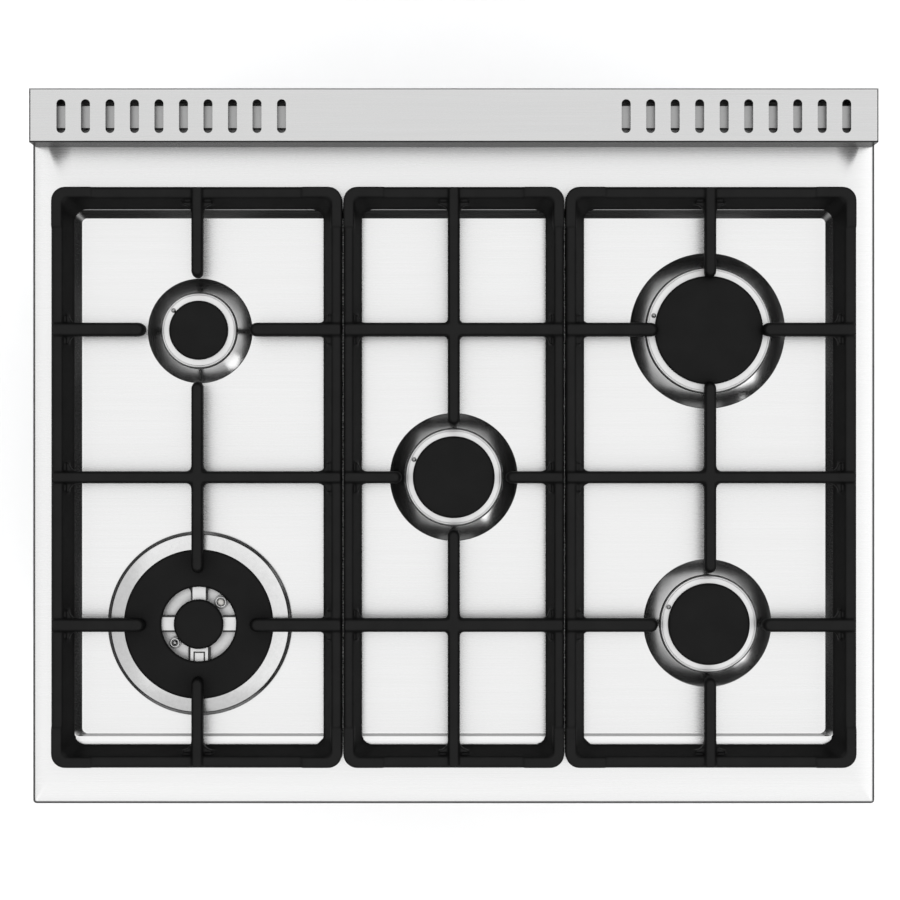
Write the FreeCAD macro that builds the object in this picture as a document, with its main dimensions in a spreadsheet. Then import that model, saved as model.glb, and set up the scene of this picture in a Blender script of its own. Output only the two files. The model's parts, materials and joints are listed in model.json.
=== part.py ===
"""A freestanding gas range, 762 mm wide, with five burners, an oven and a storage drawer.

The range stands on the floor plane z = 0 with its front towards -Y. The origin is under the
middle of the hob. Every size comes from the Sizes spreadsheet; lengths are in millimetres.
"""
import FreeCAD, Part
import math
import os

import Sketcher
from FreeCAD import Rotation, Vector

doc = FreeCAD.newDocument("GasRange")

DIMENSIONS = {
    # overall form
    "hob_width": 762, "hob_depth": 642, "hob_top_z": 914, "hob_lip": 40, "hob_sheet": 2,
    "hob_corner": 8, "hob_edge": 3, "hob_overhang": 50, "body_width": 756, "sheet": 1.5,
    # pressed well
    "well_half_width": 345, "well_front": 55, "well_back": 538, "well_depth": 8,
    "well_slope": 8, "well_corner": 5,
    # burners: places are measured from the middle line and from the hob's front edge
    "burner_side_x": 230, "front_row": 163, "middle_row": 295.5, "back_row": 428,
    "ring_aux": 95, "head_aux": 68, "cap_aux": 53.5,
    "ring_semi": 116, "head_semi": 87.5, "cap_semi": 74,
    "ring_rapid": 141, "head_rapid": 113, "cap_rapid": 98,
    "dish_wok": 167, "cap_wok_outer": 135, "cap_wok_hole": 67, "cap_wok_inner": 45,
    "burner_hole": 17, "seat_height": 3, "ring_rise": 11, "head_height": 18,
    "cap_height": 6, "port_width": 2.2, "port_depth": 4, "spark_gap": 2.5,
    "spark_sleeve": 2, "spark_hole": 2.6, "dish_rise": 11.5, "bridge_half": 6.2,
    "ring_play": 0.6, "ring_lip": 0.4, "ring_edge": 1.2,
    # grates
    "grate_half_width": 361, "grate_front": 35, "grate_back": 556, "grate_split": 99.6,
    "grate_gap": 1.2, "grate_rim": 20, "grate_inner_rim": 16, "grate_corner": 12,
    "grate_base": 10, "grate_frame_top": 34, "bar_bottom": 20, "bar_top": 38,
    "bar_width": 13, "finger_reach": 46, "grate_pad": 32, "grate_draft": 9,
    # rear vent
    "trim_height": 58, "trim_depth": 48, "trim_half_width": 378, "slot_width": 8,
    "slot_length": 30, "slot_first": 153.3, "slot_pitch": 21.8, "deflector_rise": 46,
    "deflector_front": 34.5, "deflector_back": 15, "deflector_fold": 22,
    # body
    "foot_radius": 18, "foot_stem": 5, "base_low": 30, "base_high": 58,
    "base_rail": 40, "back_gap": 16.5, "door_depth": 42, "frame_gap": 47,
    "thin_sheet": 1.2, "power_inlet_z": 300,
    # control panel and knobs
    "panel_low": 766, "panel_high": 900, "knob_z": 822, "knob_pitch": 110,
    "skirt_radius": 25, "grip_radius": 19, "knob_back": 5, "knob_length": 28,
    "stem_radius": 4, "stem_play": 0.05, "bezel_width": 4,
    "inlet_radius": 10.48, "inlet_bore": 7.9, "inlet_length": 15, "pipe_radius": 9.5,
    "gas_x": 340, "gas_z": 796,
    # oven
    "cavity_half": 300, "cavity_low": 264, "cavity_high": 700, "cavity_back": 571,
    "rack_half": 289, "rack_low": 420, "rack_high": 560, "rack_rod": 3.5, "rack_wire": 2,
    "rack_depth": 430, "rack_front_gap": 22, "oven_burner_rise": 16, "duct_half": 150,
    "duct_low": 640, "vent_half": 140, "vent_low": 650, "vent_high": 685,
    # door and drawer
    "door_low": 216, "door_high": 760, "door_half": 376, "window_half": 230,
    "window_low": 330, "window_high": 620, "pivot_inset": 15, "handle_z": 712,
    "handle_radius": 9, "handle_half": 330, "handle_reach": 32,
    "hinge_near": 346, "hinge_far": 352, "gasket_width": 11, "gasket_depth": 4.7,
    "drawer_low": 64, "drawer_high": 206, "drawer_box_half": 326, "drawer_depth": 440,
    "glide_z": 120,
}


class Size:
    """A length together with the spreadsheet formula that gives it."""

    def __init__(self, value, formula):
        self.value = value
        self.formula = formula

    def __add__(self, other):
        other = as_size(other)
        return Size(self.value + other.value, f"({self.formula} + {other.formula})")

    def __sub__(self, other):
        other = as_size(other)
        return Size(self.value - other.value, f"({self.formula} - {other.formula})")

    def __mul__(self, factor):
        return Size(self.value * factor, f"({self.formula} * {factor})")

    def __truediv__(self, divisor):
        return Size(self.value / divisor, f"({self.formula} / {divisor})")

    def __neg__(self):
        return Size(-self.value, f"(0 - {self.formula})")

    __radd__ = __add__
    __rmul__ = __mul__


def as_size(number):
    """Return the number as a Size."""
    if isinstance(number, Size):
        return number
    return Size(float(number), f"({float(number)})")


def make_sheet():
    """Write the driving dimensions into the spreadsheet and return them as Size objects."""
    sheet = doc.addObject("Spreadsheet::Sheet", "Sizes")
    sizes = {}
    for row, (alias, value) in enumerate(DIMENSIONS.items(), start=1):
        sheet.set(f"A{row}", alias)
        sheet.set(f"B{row}", str(value))
        sheet.setAlias(f"B{row}", alias)
        sizes[alias] = Size(float(value), f"Sizes.{alias}")
    doc.recompute()
    return sizes


S = make_sheet()
nodes = []

HALF_DEPTH = S["hob_depth"] / 2
FRONT_FACE = S["hob_overhang"] - HALF_DEPTH          # front plane of panel, door and drawer
FRAME_FRONT = FRONT_FACE + S["frame_gap"]            # front plane of the oven's front frame
FRAME_BACK = FRAME_FRONT + 2
BACK_FACE = HALF_DEPTH - S["back_gap"]               # outer face of the back panel
BACK_INNER = BACK_FACE - S["sheet"]
BODY_HALF = S["body_width"] / 2
BODY_INNER = BODY_HALF - S["sheet"]
HOB_TOP = S["hob_top_z"]
HOB_UNDER = HOB_TOP - S["hob_sheet"]
HOB_LOW = HOB_TOP - S["hob_lip"]
WELL_FLOOR = HOB_TOP - S["well_depth"]
WELL_UNDER = WELL_FLOOR - S["hob_sheet"]
TRIM_FRONT = HALF_DEPTH - S["trim_depth"]
DOOR_BACK = FRONT_FACE + S["door_depth"]
PIVOT_Y = FRONT_FACE + S["pivot_inset"]
PIVOT_Z = S["door_low"] + S["pivot_inset"]

# name: (x, y, ring, head, cap)
BURNERS = {
    "aux": (-S["burner_side_x"], S["back_row"] - HALF_DEPTH,
            "ring_aux", "head_aux", "cap_aux"),
    "centre": (as_size(0), S["middle_row"] - HALF_DEPTH,
               "ring_semi", "head_semi", "cap_semi"),
    "right_front": (S["burner_side_x"], S["front_row"] - HALF_DEPTH,
                    "ring_semi", "head_semi", "cap_semi"),
    "right_back": (S["burner_side_x"], S["back_row"] - HALF_DEPTH,
                   "ring_rapid", "head_rapid", "cap_rapid"),
}
# direction from each burner's middle to its spark electrode, in degrees from +X
SPARK_ANGLES = {"aux": 142, "centre": 156, "right_front": 157, "right_back": 165}
WOK_X = -S["burner_side_x"]
WOK_Y = S["front_row"] - HALF_DEPTH


# ---------------------------------------------------------------- helpers

def bind(thing, prop, size):
    """Drive one property of an object from the spreadsheet."""
    thing.setExpression(prop, as_size(size).formula)


def place(thing, x=0, y=0, z=0):
    """Bind an object's position."""
    for axis, size in zip("xyz", (x, y, z)):
        bind(thing, f"Placement.Base.{axis}", size)


def node(piece, label):
    """Name a finished sub-part and list it for export."""
    piece.Label = label
    nodes.append(piece)
    return piece


def block(x, y, z):
    """A box between two corners, each axis given as a (low, high) pair."""
    piece = doc.addObject("Part::Box", "Block")
    for prop, (low, high) in zip(("Length", "Width", "Height"), (x, y, z)):
        bind(piece, prop, as_size(high) - low)
    place(piece, x[0], y[0], z[0])
    return piece


AXIS_TURNS = {
    "X": Rotation(Vector(0, 1, 0), 90),
    "Y": Rotation(Vector(1, 0, 0), -90),
    "Z": Rotation(),
}


def rod(radius, length, start, axis="Z"):
    """A cylinder that runs from start along +X, +Y or +Z."""
    piece = doc.addObject("Part::Cylinder", "Rod")
    piece.Placement.Rotation = AXIS_TURNS[axis]
    bind(piece, "Radius", radius)
    bind(piece, "Height", length)
    place(piece, *start)
    return piece


def tube(radius, bore, length, start, axis="Z"):
    """A cylinder with a bore along it."""
    return cut(rod(radius, length, start, axis), [rod(bore, length, start, axis)])


def fuse(pieces):
    """Join pieces into one solid."""
    joined = doc.addObject("Part::MultiFuse", "Fuse")
    joined.Shapes = pieces
    joined.Refine = True
    return joined


def group(pieces):
    """Keep separate solids together in one sub-part."""
    together = doc.addObject("Part::Compound", "Group")
    together.Links = pieces
    return together


def cut(base, tools):
    """Take tools, which may not overlap each other, away from a base."""
    difference = doc.addObject("Part::Cut", "Cut")
    difference.Base = base
    difference.Tool = tools[0] if len(tools) == 1 else group(tools)
    return difference


def both_sides(make):
    """Call make(-1) and make(1) for the left and right copies of a piece."""
    return [make(side) for side in (-1, 1)]


def span(side, near, far):
    """An X range that lies near..far from the middle line, on the left or the right."""
    near, far = as_size(near), as_size(far)
    return (near, far) if side > 0 else (-far, -near)


def origin_plane(body, role):
    """Find one of the body's own origin planes."""
    for feature in body.Origin.OriginFeatures:
        if feature.Role == role:
            return feature
    raise ValueError(role)


def new_sketch(body, role="XY_Plane", offset=0):
    """A sketch on one of the body's origin planes, moved along its normal."""
    sketch = body.newObject("Sketcher::SketchObject", "Sketch")
    sketch.AttachmentSupport = [(origin_plane(body, role), "")]
    sketch.MapMode = "FlatFace"
    bind(sketch, "AttachmentOffset.Base.z", offset)
    return sketch


def outline(sketch, points):
    """Draw a closed outline through points, with each corner held by two bound dimensions."""
    points = [(as_size(u), as_size(v)) for u, v in points]
    first = sketch.GeometryCount
    count = len(points)
    for index in range(count):
        start, end = points[index], points[(index + 1) % count]
        sketch.addGeometry(Part.LineSegment(Vector(start[0].value, start[1].value, 0),
                                            Vector(end[0].value, end[1].value, 0)), False)
    for index in range(count):
        following = first + (index + 1) % count
        sketch.addConstraint(Sketcher.Constraint("Coincident", first + index, 2, following, 1))
    for index, point in enumerate(points):
        for kind, size in zip(("DistanceX", "DistanceY"), point):
            held = sketch.addConstraint(
                Sketcher.Constraint(kind, -1, 1, first + index, 1, size.value))
            bind(sketch, f"Constraints[{held}]", size)


def rectangle(u, v):
    """The four corners of a rectangle given as two (low, high) pairs."""
    return [(u[0], v[0]), (u[1], v[0]), (u[1], v[1]), (u[0], v[1])]


def pad(body, sketch, length, draft=None):
    """Extrude a sketch, leaning its walls inwards by the draft angle."""
    feature = body.newObject("PartDesign::Pad", "Pad")
    feature.Profile = sketch
    bind(feature, "Length", length)
    if draft is not None:
        bind(feature, "TaperAngle", -draft)
    return feature


def pocket(body, sketch, length, draft=None, upwards=True):
    """Cut a sketch into the body by a depth."""
    feature = body.newObject("PartDesign::Pocket", "Pocket")
    feature.Profile = sketch
    feature.Reversed = upwards
    bind(feature, "Length", length)
    if draft is not None:
        bind(feature, "TaperAngle", draft)
    return feature


def round_edges(body, feature, radius, wanted):
    """Round those edges of a feature for which wanted(edge) is true."""
    doc.recompute()
    names = [f"Edge{number}" for number, edge in enumerate(feature.Shape.Edges, start=1)
             if wanted(edge)]
    rounded = body.newObject("PartDesign::Fillet", "Fillet")
    rounded.Base = (feature, names)
    bind(rounded, "Radius", radius)
    return rounded


def is_upright(edge):
    """True for an edge that climbs from one level to another."""
    return abs(edge.Vertexes[0].Point.z - edge.Vertexes[-1].Point.z) > 1


def new_body(x=0, y=0, z=0):
    """An empty PartDesign body at a bound position."""
    body = doc.addObject("PartDesign::Body", "Body")
    place(body, x, y, z)
    return body


def turned(profile, x=0, y=0, z=0, role="XZ_Plane"):
    """A body of revolution about its local Z axis, from (radius, height) points."""
    body = new_body(x, y, z)
    sketch = new_sketch(body, role)
    outline(sketch, profile)
    feature = body.newObject("PartDesign::Revolution", "Revolution")
    feature.Profile = sketch
    feature.ReferenceAxis = (sketch, ["V_Axis"])
    feature.Angle = 360
    return body


# ---------------------------------------------------------------- chassis

def make_chassis():
    """Base frame, levelling feet, side and back panels, front frame."""
    rear = BACK_INNER
    low, high = S["base_low"], S["base_high"]
    outer = block((-BODY_INNER, BODY_INNER), (FRAME_FRONT, rear), (low, high))
    inner_half = BODY_INNER - S["base_rail"]
    openings = [block((-inner_half, inner_half),
                      (FRAME_FRONT + S["base_rail"], rear - S["base_rail"]), (low, high))]
    foot_x = BODY_INNER - S["base_rail"] / 2
    foot_places = [(side * foot_x, y) for side in (-1, 1)
                   for y in (FRAME_FRONT + S["base_rail"] / 2, rear - S["base_rail"] / 2)]
    for x, y in foot_places:
        openings.append(rod(S["foot_stem"] + 0.2, high - low, (x, y, low)))
    node(cut(outer, openings), "base_frame")

    feet = []
    for x, y in foot_places:
        radius, stem = S["foot_radius"], S["foot_stem"]
        feet.append(turned([(0, 0), (radius - 2, 0), (radius, 2), (radius, 8), (stem * 2.2, 12),
                            (stem * 2.2, low), (stem, low), (stem, high - 4), (0, high - 4)],
                           x, y, 0))
    node(group(feet), "levelling_feet")

    for side, label in ((-1, "side_panel_left"), (1, "side_panel_right")):
        node(block(span(side, BODY_INNER, BODY_HALF), (FRAME_FRONT, HALF_DEPTH - 8),
                   (S["base_low"] + 10, HOB_UNDER)), label)

    pipe_hole = rod(12, S["sheet"], (GAS_X, BACK_INNER, GAS_Z), "Y")
    node(cut(block((-BODY_INNER, BODY_INNER), (BACK_INNER, BACK_FACE),
                   (S["base_low"] + 10, HOB_LOW)), [pipe_hole]), "back_panel")

    mouth = block((-S["cavity_half"], S["cavity_half"]), (FRAME_FRONT, FRAME_BACK),
                  (S["cavity_low"], S["cavity_high"]))
    drawer_hole = block((-DRAWER_MOUTH, DRAWER_MOUTH), (FRAME_FRONT, FRAME_BACK),
                        (S["base_high"] + 4, S["drawer_high"] + 2))
    plate = block((-BODY_INNER, BODY_INNER), (FRAME_FRONT, FRAME_BACK),
                  (S["base_high"], S["panel_low"] - 2))
    node(cut(plate, [mouth, drawer_hole]), "front_frame")


GAS_X = S["gas_x"]
GAS_Z = S["gas_z"]
DRAWER_MOUTH = S["drawer_box_half"] + 18


# ---------------------------------------------------------------- hob and vent

def tapered_block(half_width, front, back, low, depth, slope, corner):
    """A block with rounded upright corners whose walls lean outwards as they rise."""
    body = new_body(0, 0, low)
    sketch = new_sketch(body)
    outline(sketch, rectangle((-half_width, half_width), (front, back)))
    feature = body.newObject("PartDesign::Pad", "Pad")
    feature.Profile = sketch
    bind(feature, "Length", depth)
    lean = math.degrees(math.atan2(slope.value, depth.value))
    feature.TaperAngle = lean
    round_edges(body, feature, corner, is_upright)
    return body


def make_hob():
    """The pressed hob sheet with its well, burner holes and flue opening."""
    body = new_body(0, 0, HOB_LOW)
    sketch = new_sketch(body)
    half = S["hob_width"] / 2
    outline(sketch, rectangle((-half, half), (-HALF_DEPTH, HALF_DEPTH)))
    feature = pad(body, sketch, S["hob_lip"])
    corners = round_edges(body, feature, S["hob_corner"], is_upright)
    top = S["hob_lip"].value
    round_edges(body, corners, S["hob_edge"],
                lambda edge: min(vertex.Point.z for vertex in edge.Vertexes) > top - 0.01)

    sheet = S["hob_sheet"]
    hollow = block((-half + sheet, half - sheet), (-HALF_DEPTH + sheet, HALF_DEPTH - sheet),
                   (HOB_LOW, HOB_UNDER))
    floor_half = S["well_half_width"] - S["well_slope"]
    floor_front = S["well_front"] + S["well_slope"] - HALF_DEPTH
    floor_back = S["well_back"] - S["well_slope"] - HALF_DEPTH
    pressed = tapered_block(floor_half + sheet, floor_front - sheet, floor_back + sheet,
                            WELL_UNDER, S["well_depth"], S["well_slope"],
                            S["well_corner"] + sheet)
    shell = fuse([cut(body, [hollow]), pressed])
    well = tapered_block(floor_half, floor_front, floor_back, WELL_FLOOR,
                         S["well_depth"], S["well_slope"], S["well_corner"])
    holes = [rod(S["burner_hole"], sheet + 1, (x, y, WELL_UNDER - 0.5))
             for x, y, _, _, _ in BURNERS.values()]
    holes.append(rod(S["burner_hole"] * 2, sheet + 1, (WOK_X, WOK_Y, WELL_UNDER - 0.5)))
    flue = block((-S["trim_half_width"] + 30, S["trim_half_width"] - 30),
                 (TRIM_FRONT + 6, BACK_INNER), (HOB_UNDER - 1, HOB_TOP + 1))
    node(cut(cut(shell, [well]), holes + [flue]), "hob_top")


def slot_centres():
    """X places of the vent slots, ten on each side of the middle."""
    return [side * (S["slot_first"] + S["slot_pitch"] * count)
            for side in (-1, 1) for count in range(10)]


def make_vent():
    """The raised vent trim with two rows of slots, and the deflector sheet inside it."""
    half, sheet = S["trim_half_width"], S["sheet"]
    top = HOB_TOP + S["trim_height"]
    shell = new_body(0, 0, HOB_TOP)
    sketch = new_sketch(shell)
    outline(sketch, rectangle((-half, half), (TRIM_FRONT, HALF_DEPTH)))
    feature = pad(shell, sketch, S["trim_height"])
    limit = S["trim_height"].value - 0.01
    round_edges(shell, feature, 2,
                lambda edge: min(vertex.Point.z for vertex in edge.Vertexes) > limit)
    inside = block((-half + sheet, half - sheet), (TRIM_FRONT + sheet, HALF_DEPTH - sheet),
                   (HOB_TOP, top - sheet))
    slots = new_body(0, 0, top - sheet - 1)
    slot_sketch = new_sketch(slots)
    middle = HALF_DEPTH - 25
    straight = S["slot_length"] / 2
    for x in slot_centres():
        outline(slot_sketch, rectangle((x - S["slot_width"] / 2, x + S["slot_width"] / 2),
                                       (middle - straight, middle + straight)))
    slot_pad = pad(slots, slot_sketch, 5)
    round_edges(slots, slot_pad, S["slot_width"] / 2 - 0.05, is_upright)
    node(cut(cut(shell, [inside]), [slots]), "vent_trim")

    low_edge = TRIM_FRONT + sheet
    front, back = HALF_DEPTH - S["deflector_front"], HALF_DEPTH - S["deflector_back"]
    level = HOB_TOP + S["deflector_rise"]
    step = level - S["deflector_fold"]
    reach = (-half + sheet + 20, half - sheet - 20)
    node(fuse([
        block(reach, (front, back), (level - sheet, level)),
        block(reach, (front, front + sheet), (step, level)),
        block(reach, (low_edge, front + sheet), (step, step + sheet)),
        block(reach, (back - sheet, back), (HOB_TOP, level)),
    ]), "vent_deflector")


CAVITY_BACK = S["cavity_back"] - HALF_DEPTH
CAVITY_BACK_OUTER = CAVITY_BACK + S["sheet"]


# ---------------------------------------------------------------- burners

def make_ring(x, y, diameter, head):
    """A conical trim ring round the head, with a flat seat on which the head stands."""
    radius, collar = S[diameter] / 2, S[head] / 2 + S["ring_play"]
    seat, rise, hole = S["seat_height"], S["ring_rise"], S["burner_hole"]
    profile = [(hole, 0), (radius, 0), (radius, S["ring_edge"]),
               (collar + S["ring_lip"], rise), (collar, rise), (collar, seat), (hole, seat)]
    return turned(profile, x, y, WELL_FLOOR)


def spark_place(name):
    """Where a burner's electrode stands, just outside the cap."""
    x, y, _, _, cap = BURNERS[name]
    away = S[cap] / 2 + S["spark_gap"]
    angle = math.radians(SPARK_ANGLES[name])
    return x + away * math.cos(angle), y + away * math.sin(angle)


def make_head(name, ports):
    """A cast burner head: spigot, body, a hole for the electrode and a ring of flame ports."""
    x, y, _, diameter, _ = BURNERS[name]
    radius = S[diameter] / 2
    seat, height = S["seat_height"], S["head_height"]
    spigot = S["burner_hole"] - 0.5
    profile = [(6, 0), (spigot, 0), (spigot, seat), (radius - 4, seat), (radius - 1, seat + 4),
               (radius, height - 3), (radius - 3, height), (radius - 8, height),
               (radius - 9, seat + 6), (6, seat + 6)]
    body = turned(profile, x, y, WELL_FLOOR)
    sketch = new_sketch(body, "XY_Plane", height)
    outline(sketch, rectangle((radius - 10, radius + 1),
                              (-S["port_width"] / 2, S["port_width"] / 2)))
    port = pocket(body, sketch, S["port_depth"], upwards=False)
    pattern = body.newObject("PartDesign::PolarPattern", "Ports")
    pattern.Originals = [port]
    pattern.Axis = (origin_plane(body, "Z_Axis"), [""])
    pattern.Angle = 360
    pattern.Occurrences = ports
    body.Tip = pattern
    spark_x, spark_y = spark_place(name)
    hole = rod(S["spark_hole"], height, (spark_x, spark_y, WELL_FLOOR + 1))
    return node(cut(body, [hole]), f"head_{name}")


def make_cap(label, x, y, radius, low, hole=None):
    """A flat enamelled cap with a rounded rim, resting on its head."""
    thick = S["cap_height"]
    inner = 0 if hole is None else hole
    profile = [(inner, 0), (radius - 2, 0), (radius, 2), (radius, thick - 3),
               (radius - 1, thick - 1), (radius - 3, thick), (inner, thick)]
    if hole is not None:
        profile[-1] = (inner + 2, thick)
        profile.append((inner, thick - 2))
    return node(turned(profile, x, y, low), label)


def make_burners():
    """Four standard burners and the wok burner."""
    rings = []
    ports = {"head_aux": 18, "head_semi": 24, "head_rapid": 30}
    cap_seat = WELL_FLOOR + S["head_height"]
    for name, (x, y, ring, head, cap) in BURNERS.items():
        rings.append(make_ring(x, y, ring, head))
        make_head(name, ports[head])
        make_cap(f"cap_{name}", x, y, S[cap] / 2, cap_seat)
    node(group(rings), "burner_rings")

    dish, rise = S["dish_wok"] / 2, S["dish_rise"]
    hole = S["burner_hole"] * 2
    wall = S["cap_wok_outer"] / 2 - 3                # just outside the wok head
    node(turned([(hole, 0), (dish, 0), (dish, 2.5), (dish - 2.5, 6.5), (wall + 1, rise),
                 (wall, rise), (wall, 7.6), (wall - 5.6, 2), (hole, 2)],
                WOK_X, WOK_Y, WELL_FLOOR), "dish_wok")

    make_wok_head()
    make_cap("cap_wok_outer", WOK_X, WOK_Y, S["cap_wok_outer"] / 2, cap_seat,
             S["cap_wok_hole"] / 2)
    make_cap("cap_wok_inner", WOK_X, WOK_Y, S["cap_wok_inner"] / 2, cap_seat + 1)
    make_burner_cups()
    make_igniters()


def make_wok_head():
    """The wok burner's outer ring channel and inner crown, joined by four bridges."""
    height = S["head_height"]
    outer, hole = S["cap_wok_outer"] / 2 - 4, S["cap_wok_hole"] / 2 + 2
    crown = S["cap_wok_inner"] / 2 - 2
    channel = turned([(hole, 2), (outer - 6, 2), (outer, 8), (outer, height - 2),
                      (outer - 2, height), (outer - 8, height), (outer - 9, 8),
                      (hole + 9, 8), (hole + 8, height), (hole, height)],
                     WOK_X, WOK_Y, WELL_FLOOR)
    middle = turned([(5, -10), (crown - 6, -10), (crown, 0), (crown, height + 1),
                     (crown - 5, height + 1), (crown - 6, 6), (5, 6)],
                    WOK_X, WOK_Y, WELL_FLOOR)
    bridge, start = S["bridge_half"], crown - 3
    low, high = WELL_FLOOR + 2, WELL_FLOOR + 14
    bridges = [
        block((WOK_X - bridge, WOK_X + bridge), (WOK_Y + start, WOK_Y + hole + 4), (low, high)),
        block((WOK_X - bridge, WOK_X + bridge), (WOK_Y - hole - 4, WOK_Y - start), (low, high)),
        block((WOK_X + start, WOK_X + hole + 4), (WOK_Y - bridge, WOK_Y + bridge), (low, high)),
        block((WOK_X - hole - 4, WOK_X - start), (WOK_Y - bridge, WOK_Y + bridge), (low, high)),
    ]
    node(fuse([channel, middle] + bridges), "head_wok")


def make_burner_cups():
    """The gas cups that hang under the hob, one below each burner."""
    cups = []
    for x, y, _, _, _ in BURNERS.values():
        cups.append(turned([(8, -26), (22, -26), (24, -22), (24, -6), (32, -4), (32, 0),
                            (17, 0), (17, -3), (8, -3)], x, y, WELL_UNDER))
    cups.append(turned([(8, -30), (36, -30), (40, -26), (40, -6), (52, -4), (52, 0),
                        (34, 0), (34, -8), (8, -8)], WOK_X, WOK_Y, WELL_UNDER))
    node(group(cups), "burner_cups")


def make_igniters():
    """One spark electrode beside each cap, and the wok burner's electrode and flame sensor."""
    sleeve = S["spark_sleeve"]
    tip = sleeve / 2
    pins = []
    for name in BURNERS:
        x, y = spark_place(name)
        pins.append(turned([(0, 0), (sleeve, 0), (sleeve, 10), (tip, 11), (tip, 18), (0, 18)],
                           x, y, WELL_FLOOR + S["seat_height"]))
    away, deep = 27.5, WELL_UNDER - 8
    for turn, body in ((45, 5.4), (218, 4.6)):
        angle = math.radians(turn)
        post = [(0, 0), (body, 0), (body, 16), (body - 1.6, 17.5), (body - 1.6, 20),
                (1.6, 21), (1.6, 25), (0, 25)]
        pins.append(turned(post, WOK_X + away * math.cos(angle),
                           WOK_Y + away * math.sin(angle), deep))
    node(group(pins), "spark_and_sensor_pins")


# ---------------------------------------------------------------- grates

def finger(u_from, u_to, v, width):
    """A bar outline along u with a narrowed tip at u_to."""
    direction = 1 if as_size(u_to).value > as_size(u_from).value else -1
    half = width / 2
    shoulder = as_size(u_to) - 7 * direction
    points = [(u_from, v - half), (shoulder, v - half), (u_to, v - half * 0.5),
              (u_to, v + half * 0.5), (shoulder, v + half), (u_from, v + half)]
    return points


def swap(points):
    """Exchange the two coordinates of an outline."""
    return [(v, u) for u, v in points]


def make_grate(label, left, right, left_rim, right_rim, middle_x, rows, full_rows):
    """A cast grate: drafted rim, corner feet, full cross bars and fingers around each burner."""
    front, back = S["grate_front"] - HALF_DEPTH, S["grate_back"] - HALF_DEPTH
    draft = S["grate_draft"]
    base, frame_top = S["grate_base"], S["grate_frame_top"]
    body = new_body(0, 0, HOB_TOP)
    rim_sketch = new_sketch(body, "XY_Plane", base)
    outline(rim_sketch, rectangle((left, right), (front, back)))
    rim = pad(body, rim_sketch, frame_top - base)
    round_edges(body, rim, S["grate_corner"], is_upright)
    inner_sketch = new_sketch(body, "XY_Plane", base)
    outline(inner_sketch, rectangle((left + left_rim, right - right_rim),
                                    (front + S["grate_rim"], back - S["grate_rim"])))
    opening = pocket(body, inner_sketch, frame_top - base, draft)
    inner_corners = round_edges(
        body, opening, 8,
        lambda edge: is_upright(edge) and inside_rim(edge, left, right))

    reach, width = S["finger_reach"], S["bar_width"]
    bar_height = S["bar_top"] - S["bar_bottom"]
    bars = new_sketch(body, "XY_Plane", S["bar_bottom"])
    for row in full_rows:
        outline(bars, rectangle((left + 1, right - 1), (row - width / 2, row + width / 2)))
    for row in rows:
        outline(bars, finger(left + 1, middle_x - reach, row, width))
        outline(bars, finger(right - 1, middle_x + reach, row, width))
    pad(body, bars, bar_height, 4)

    columns = new_sketch(body, "XY_Plane", S["bar_bottom"])
    outline(columns, swap(finger(front + 1, rows[0] - reach, middle_x, width)))
    outline(columns, swap(finger(back - 1, rows[-1] + reach, middle_x, width)))
    for row, following in zip(rows[:-1], rows[1:]):
        join = (row + following) / 2
        outline(columns, swap(finger(join, row + reach, middle_x, width)))
    pad(body, columns, bar_height, 4)
    for row, following in zip(rows[:-1], rows[1:]):
        join = (row + following) / 2
        more = new_sketch(body, "XY_Plane", S["bar_bottom"])
        outline(more, swap(finger(join, following - reach, middle_x, width)))
        pad(body, more, bar_height, 4)

    feet = new_sketch(body, "XY_Plane", 0)
    length = S["grate_pad"]
    for x_edge, x_side, rim_width in ((left, 1, left_rim), (right, -1, right_rim)):
        for y_edge, y_side in ((front, 1), (back, -1)):
            near_x, near_y = x_edge + 2 * x_side, y_edge + 2 * y_side
            rim_x = x_edge + (rim_width - 4) * x_side
            rim_y = y_edge + (S["grate_rim"] - 6) * y_side
            far_x, far_y = x_edge + length * x_side, y_edge + length * y_side
            outline(feet, [(near_x, near_y), (far_x, near_y), (far_x, rim_y), (rim_x, rim_y),
                           (rim_x, far_y), (near_x, far_y)])
    pad(body, feet, base)
    return node(body, label)


def inside_rim(edge, left, right):
    """True for an edge that lies off the grate's outer walls."""
    x = edge.Vertexes[0].Point.x
    y = edge.Vertexes[0].Point.y
    front, back = S["grate_front"] - HALF_DEPTH, S["grate_back"] - HALF_DEPTH
    clear_x = left.value + 13 < x < right.value - 13
    return clear_x and front.value + 13 < y < back.value - 13


def make_grates():
    """Three grates side by side."""
    half, split, gap = S["grate_half_width"], S["grate_split"], S["grate_gap"] / 2
    front_row, middle_row, back_row = (S[row] - HALF_DEPTH
                                       for row in ("front_row", "middle_row", "back_row"))
    make_grate("grate_left", -half, -split - gap, S["grate_rim"], S["grate_inner_rim"],
               -S["burner_side_x"], [front_row, back_row], [middle_row])
    make_grate("grate_centre", -split + gap, split - gap, S["grate_inner_rim"],
               S["grate_inner_rim"], as_size(0), [middle_row], [front_row, back_row])
    make_grate("grate_right", split + gap, half, S["grate_inner_rim"], S["grate_rim"],
               S["burner_side_x"], [front_row, back_row], [middle_row])


# ---------------------------------------------------------------- control panel and gas train

BURNER_KNOBS = {"left_front": -2.5, "left_back": -1.5, "centre": 0.5,
                "right_back": 1.5, "right_front": 2.5}
OVEN_KNOB = -0.5


def knob_x(position):
    """X place of a knob, given in steps from the middle."""
    return S["knob_pitch"] * position


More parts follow.
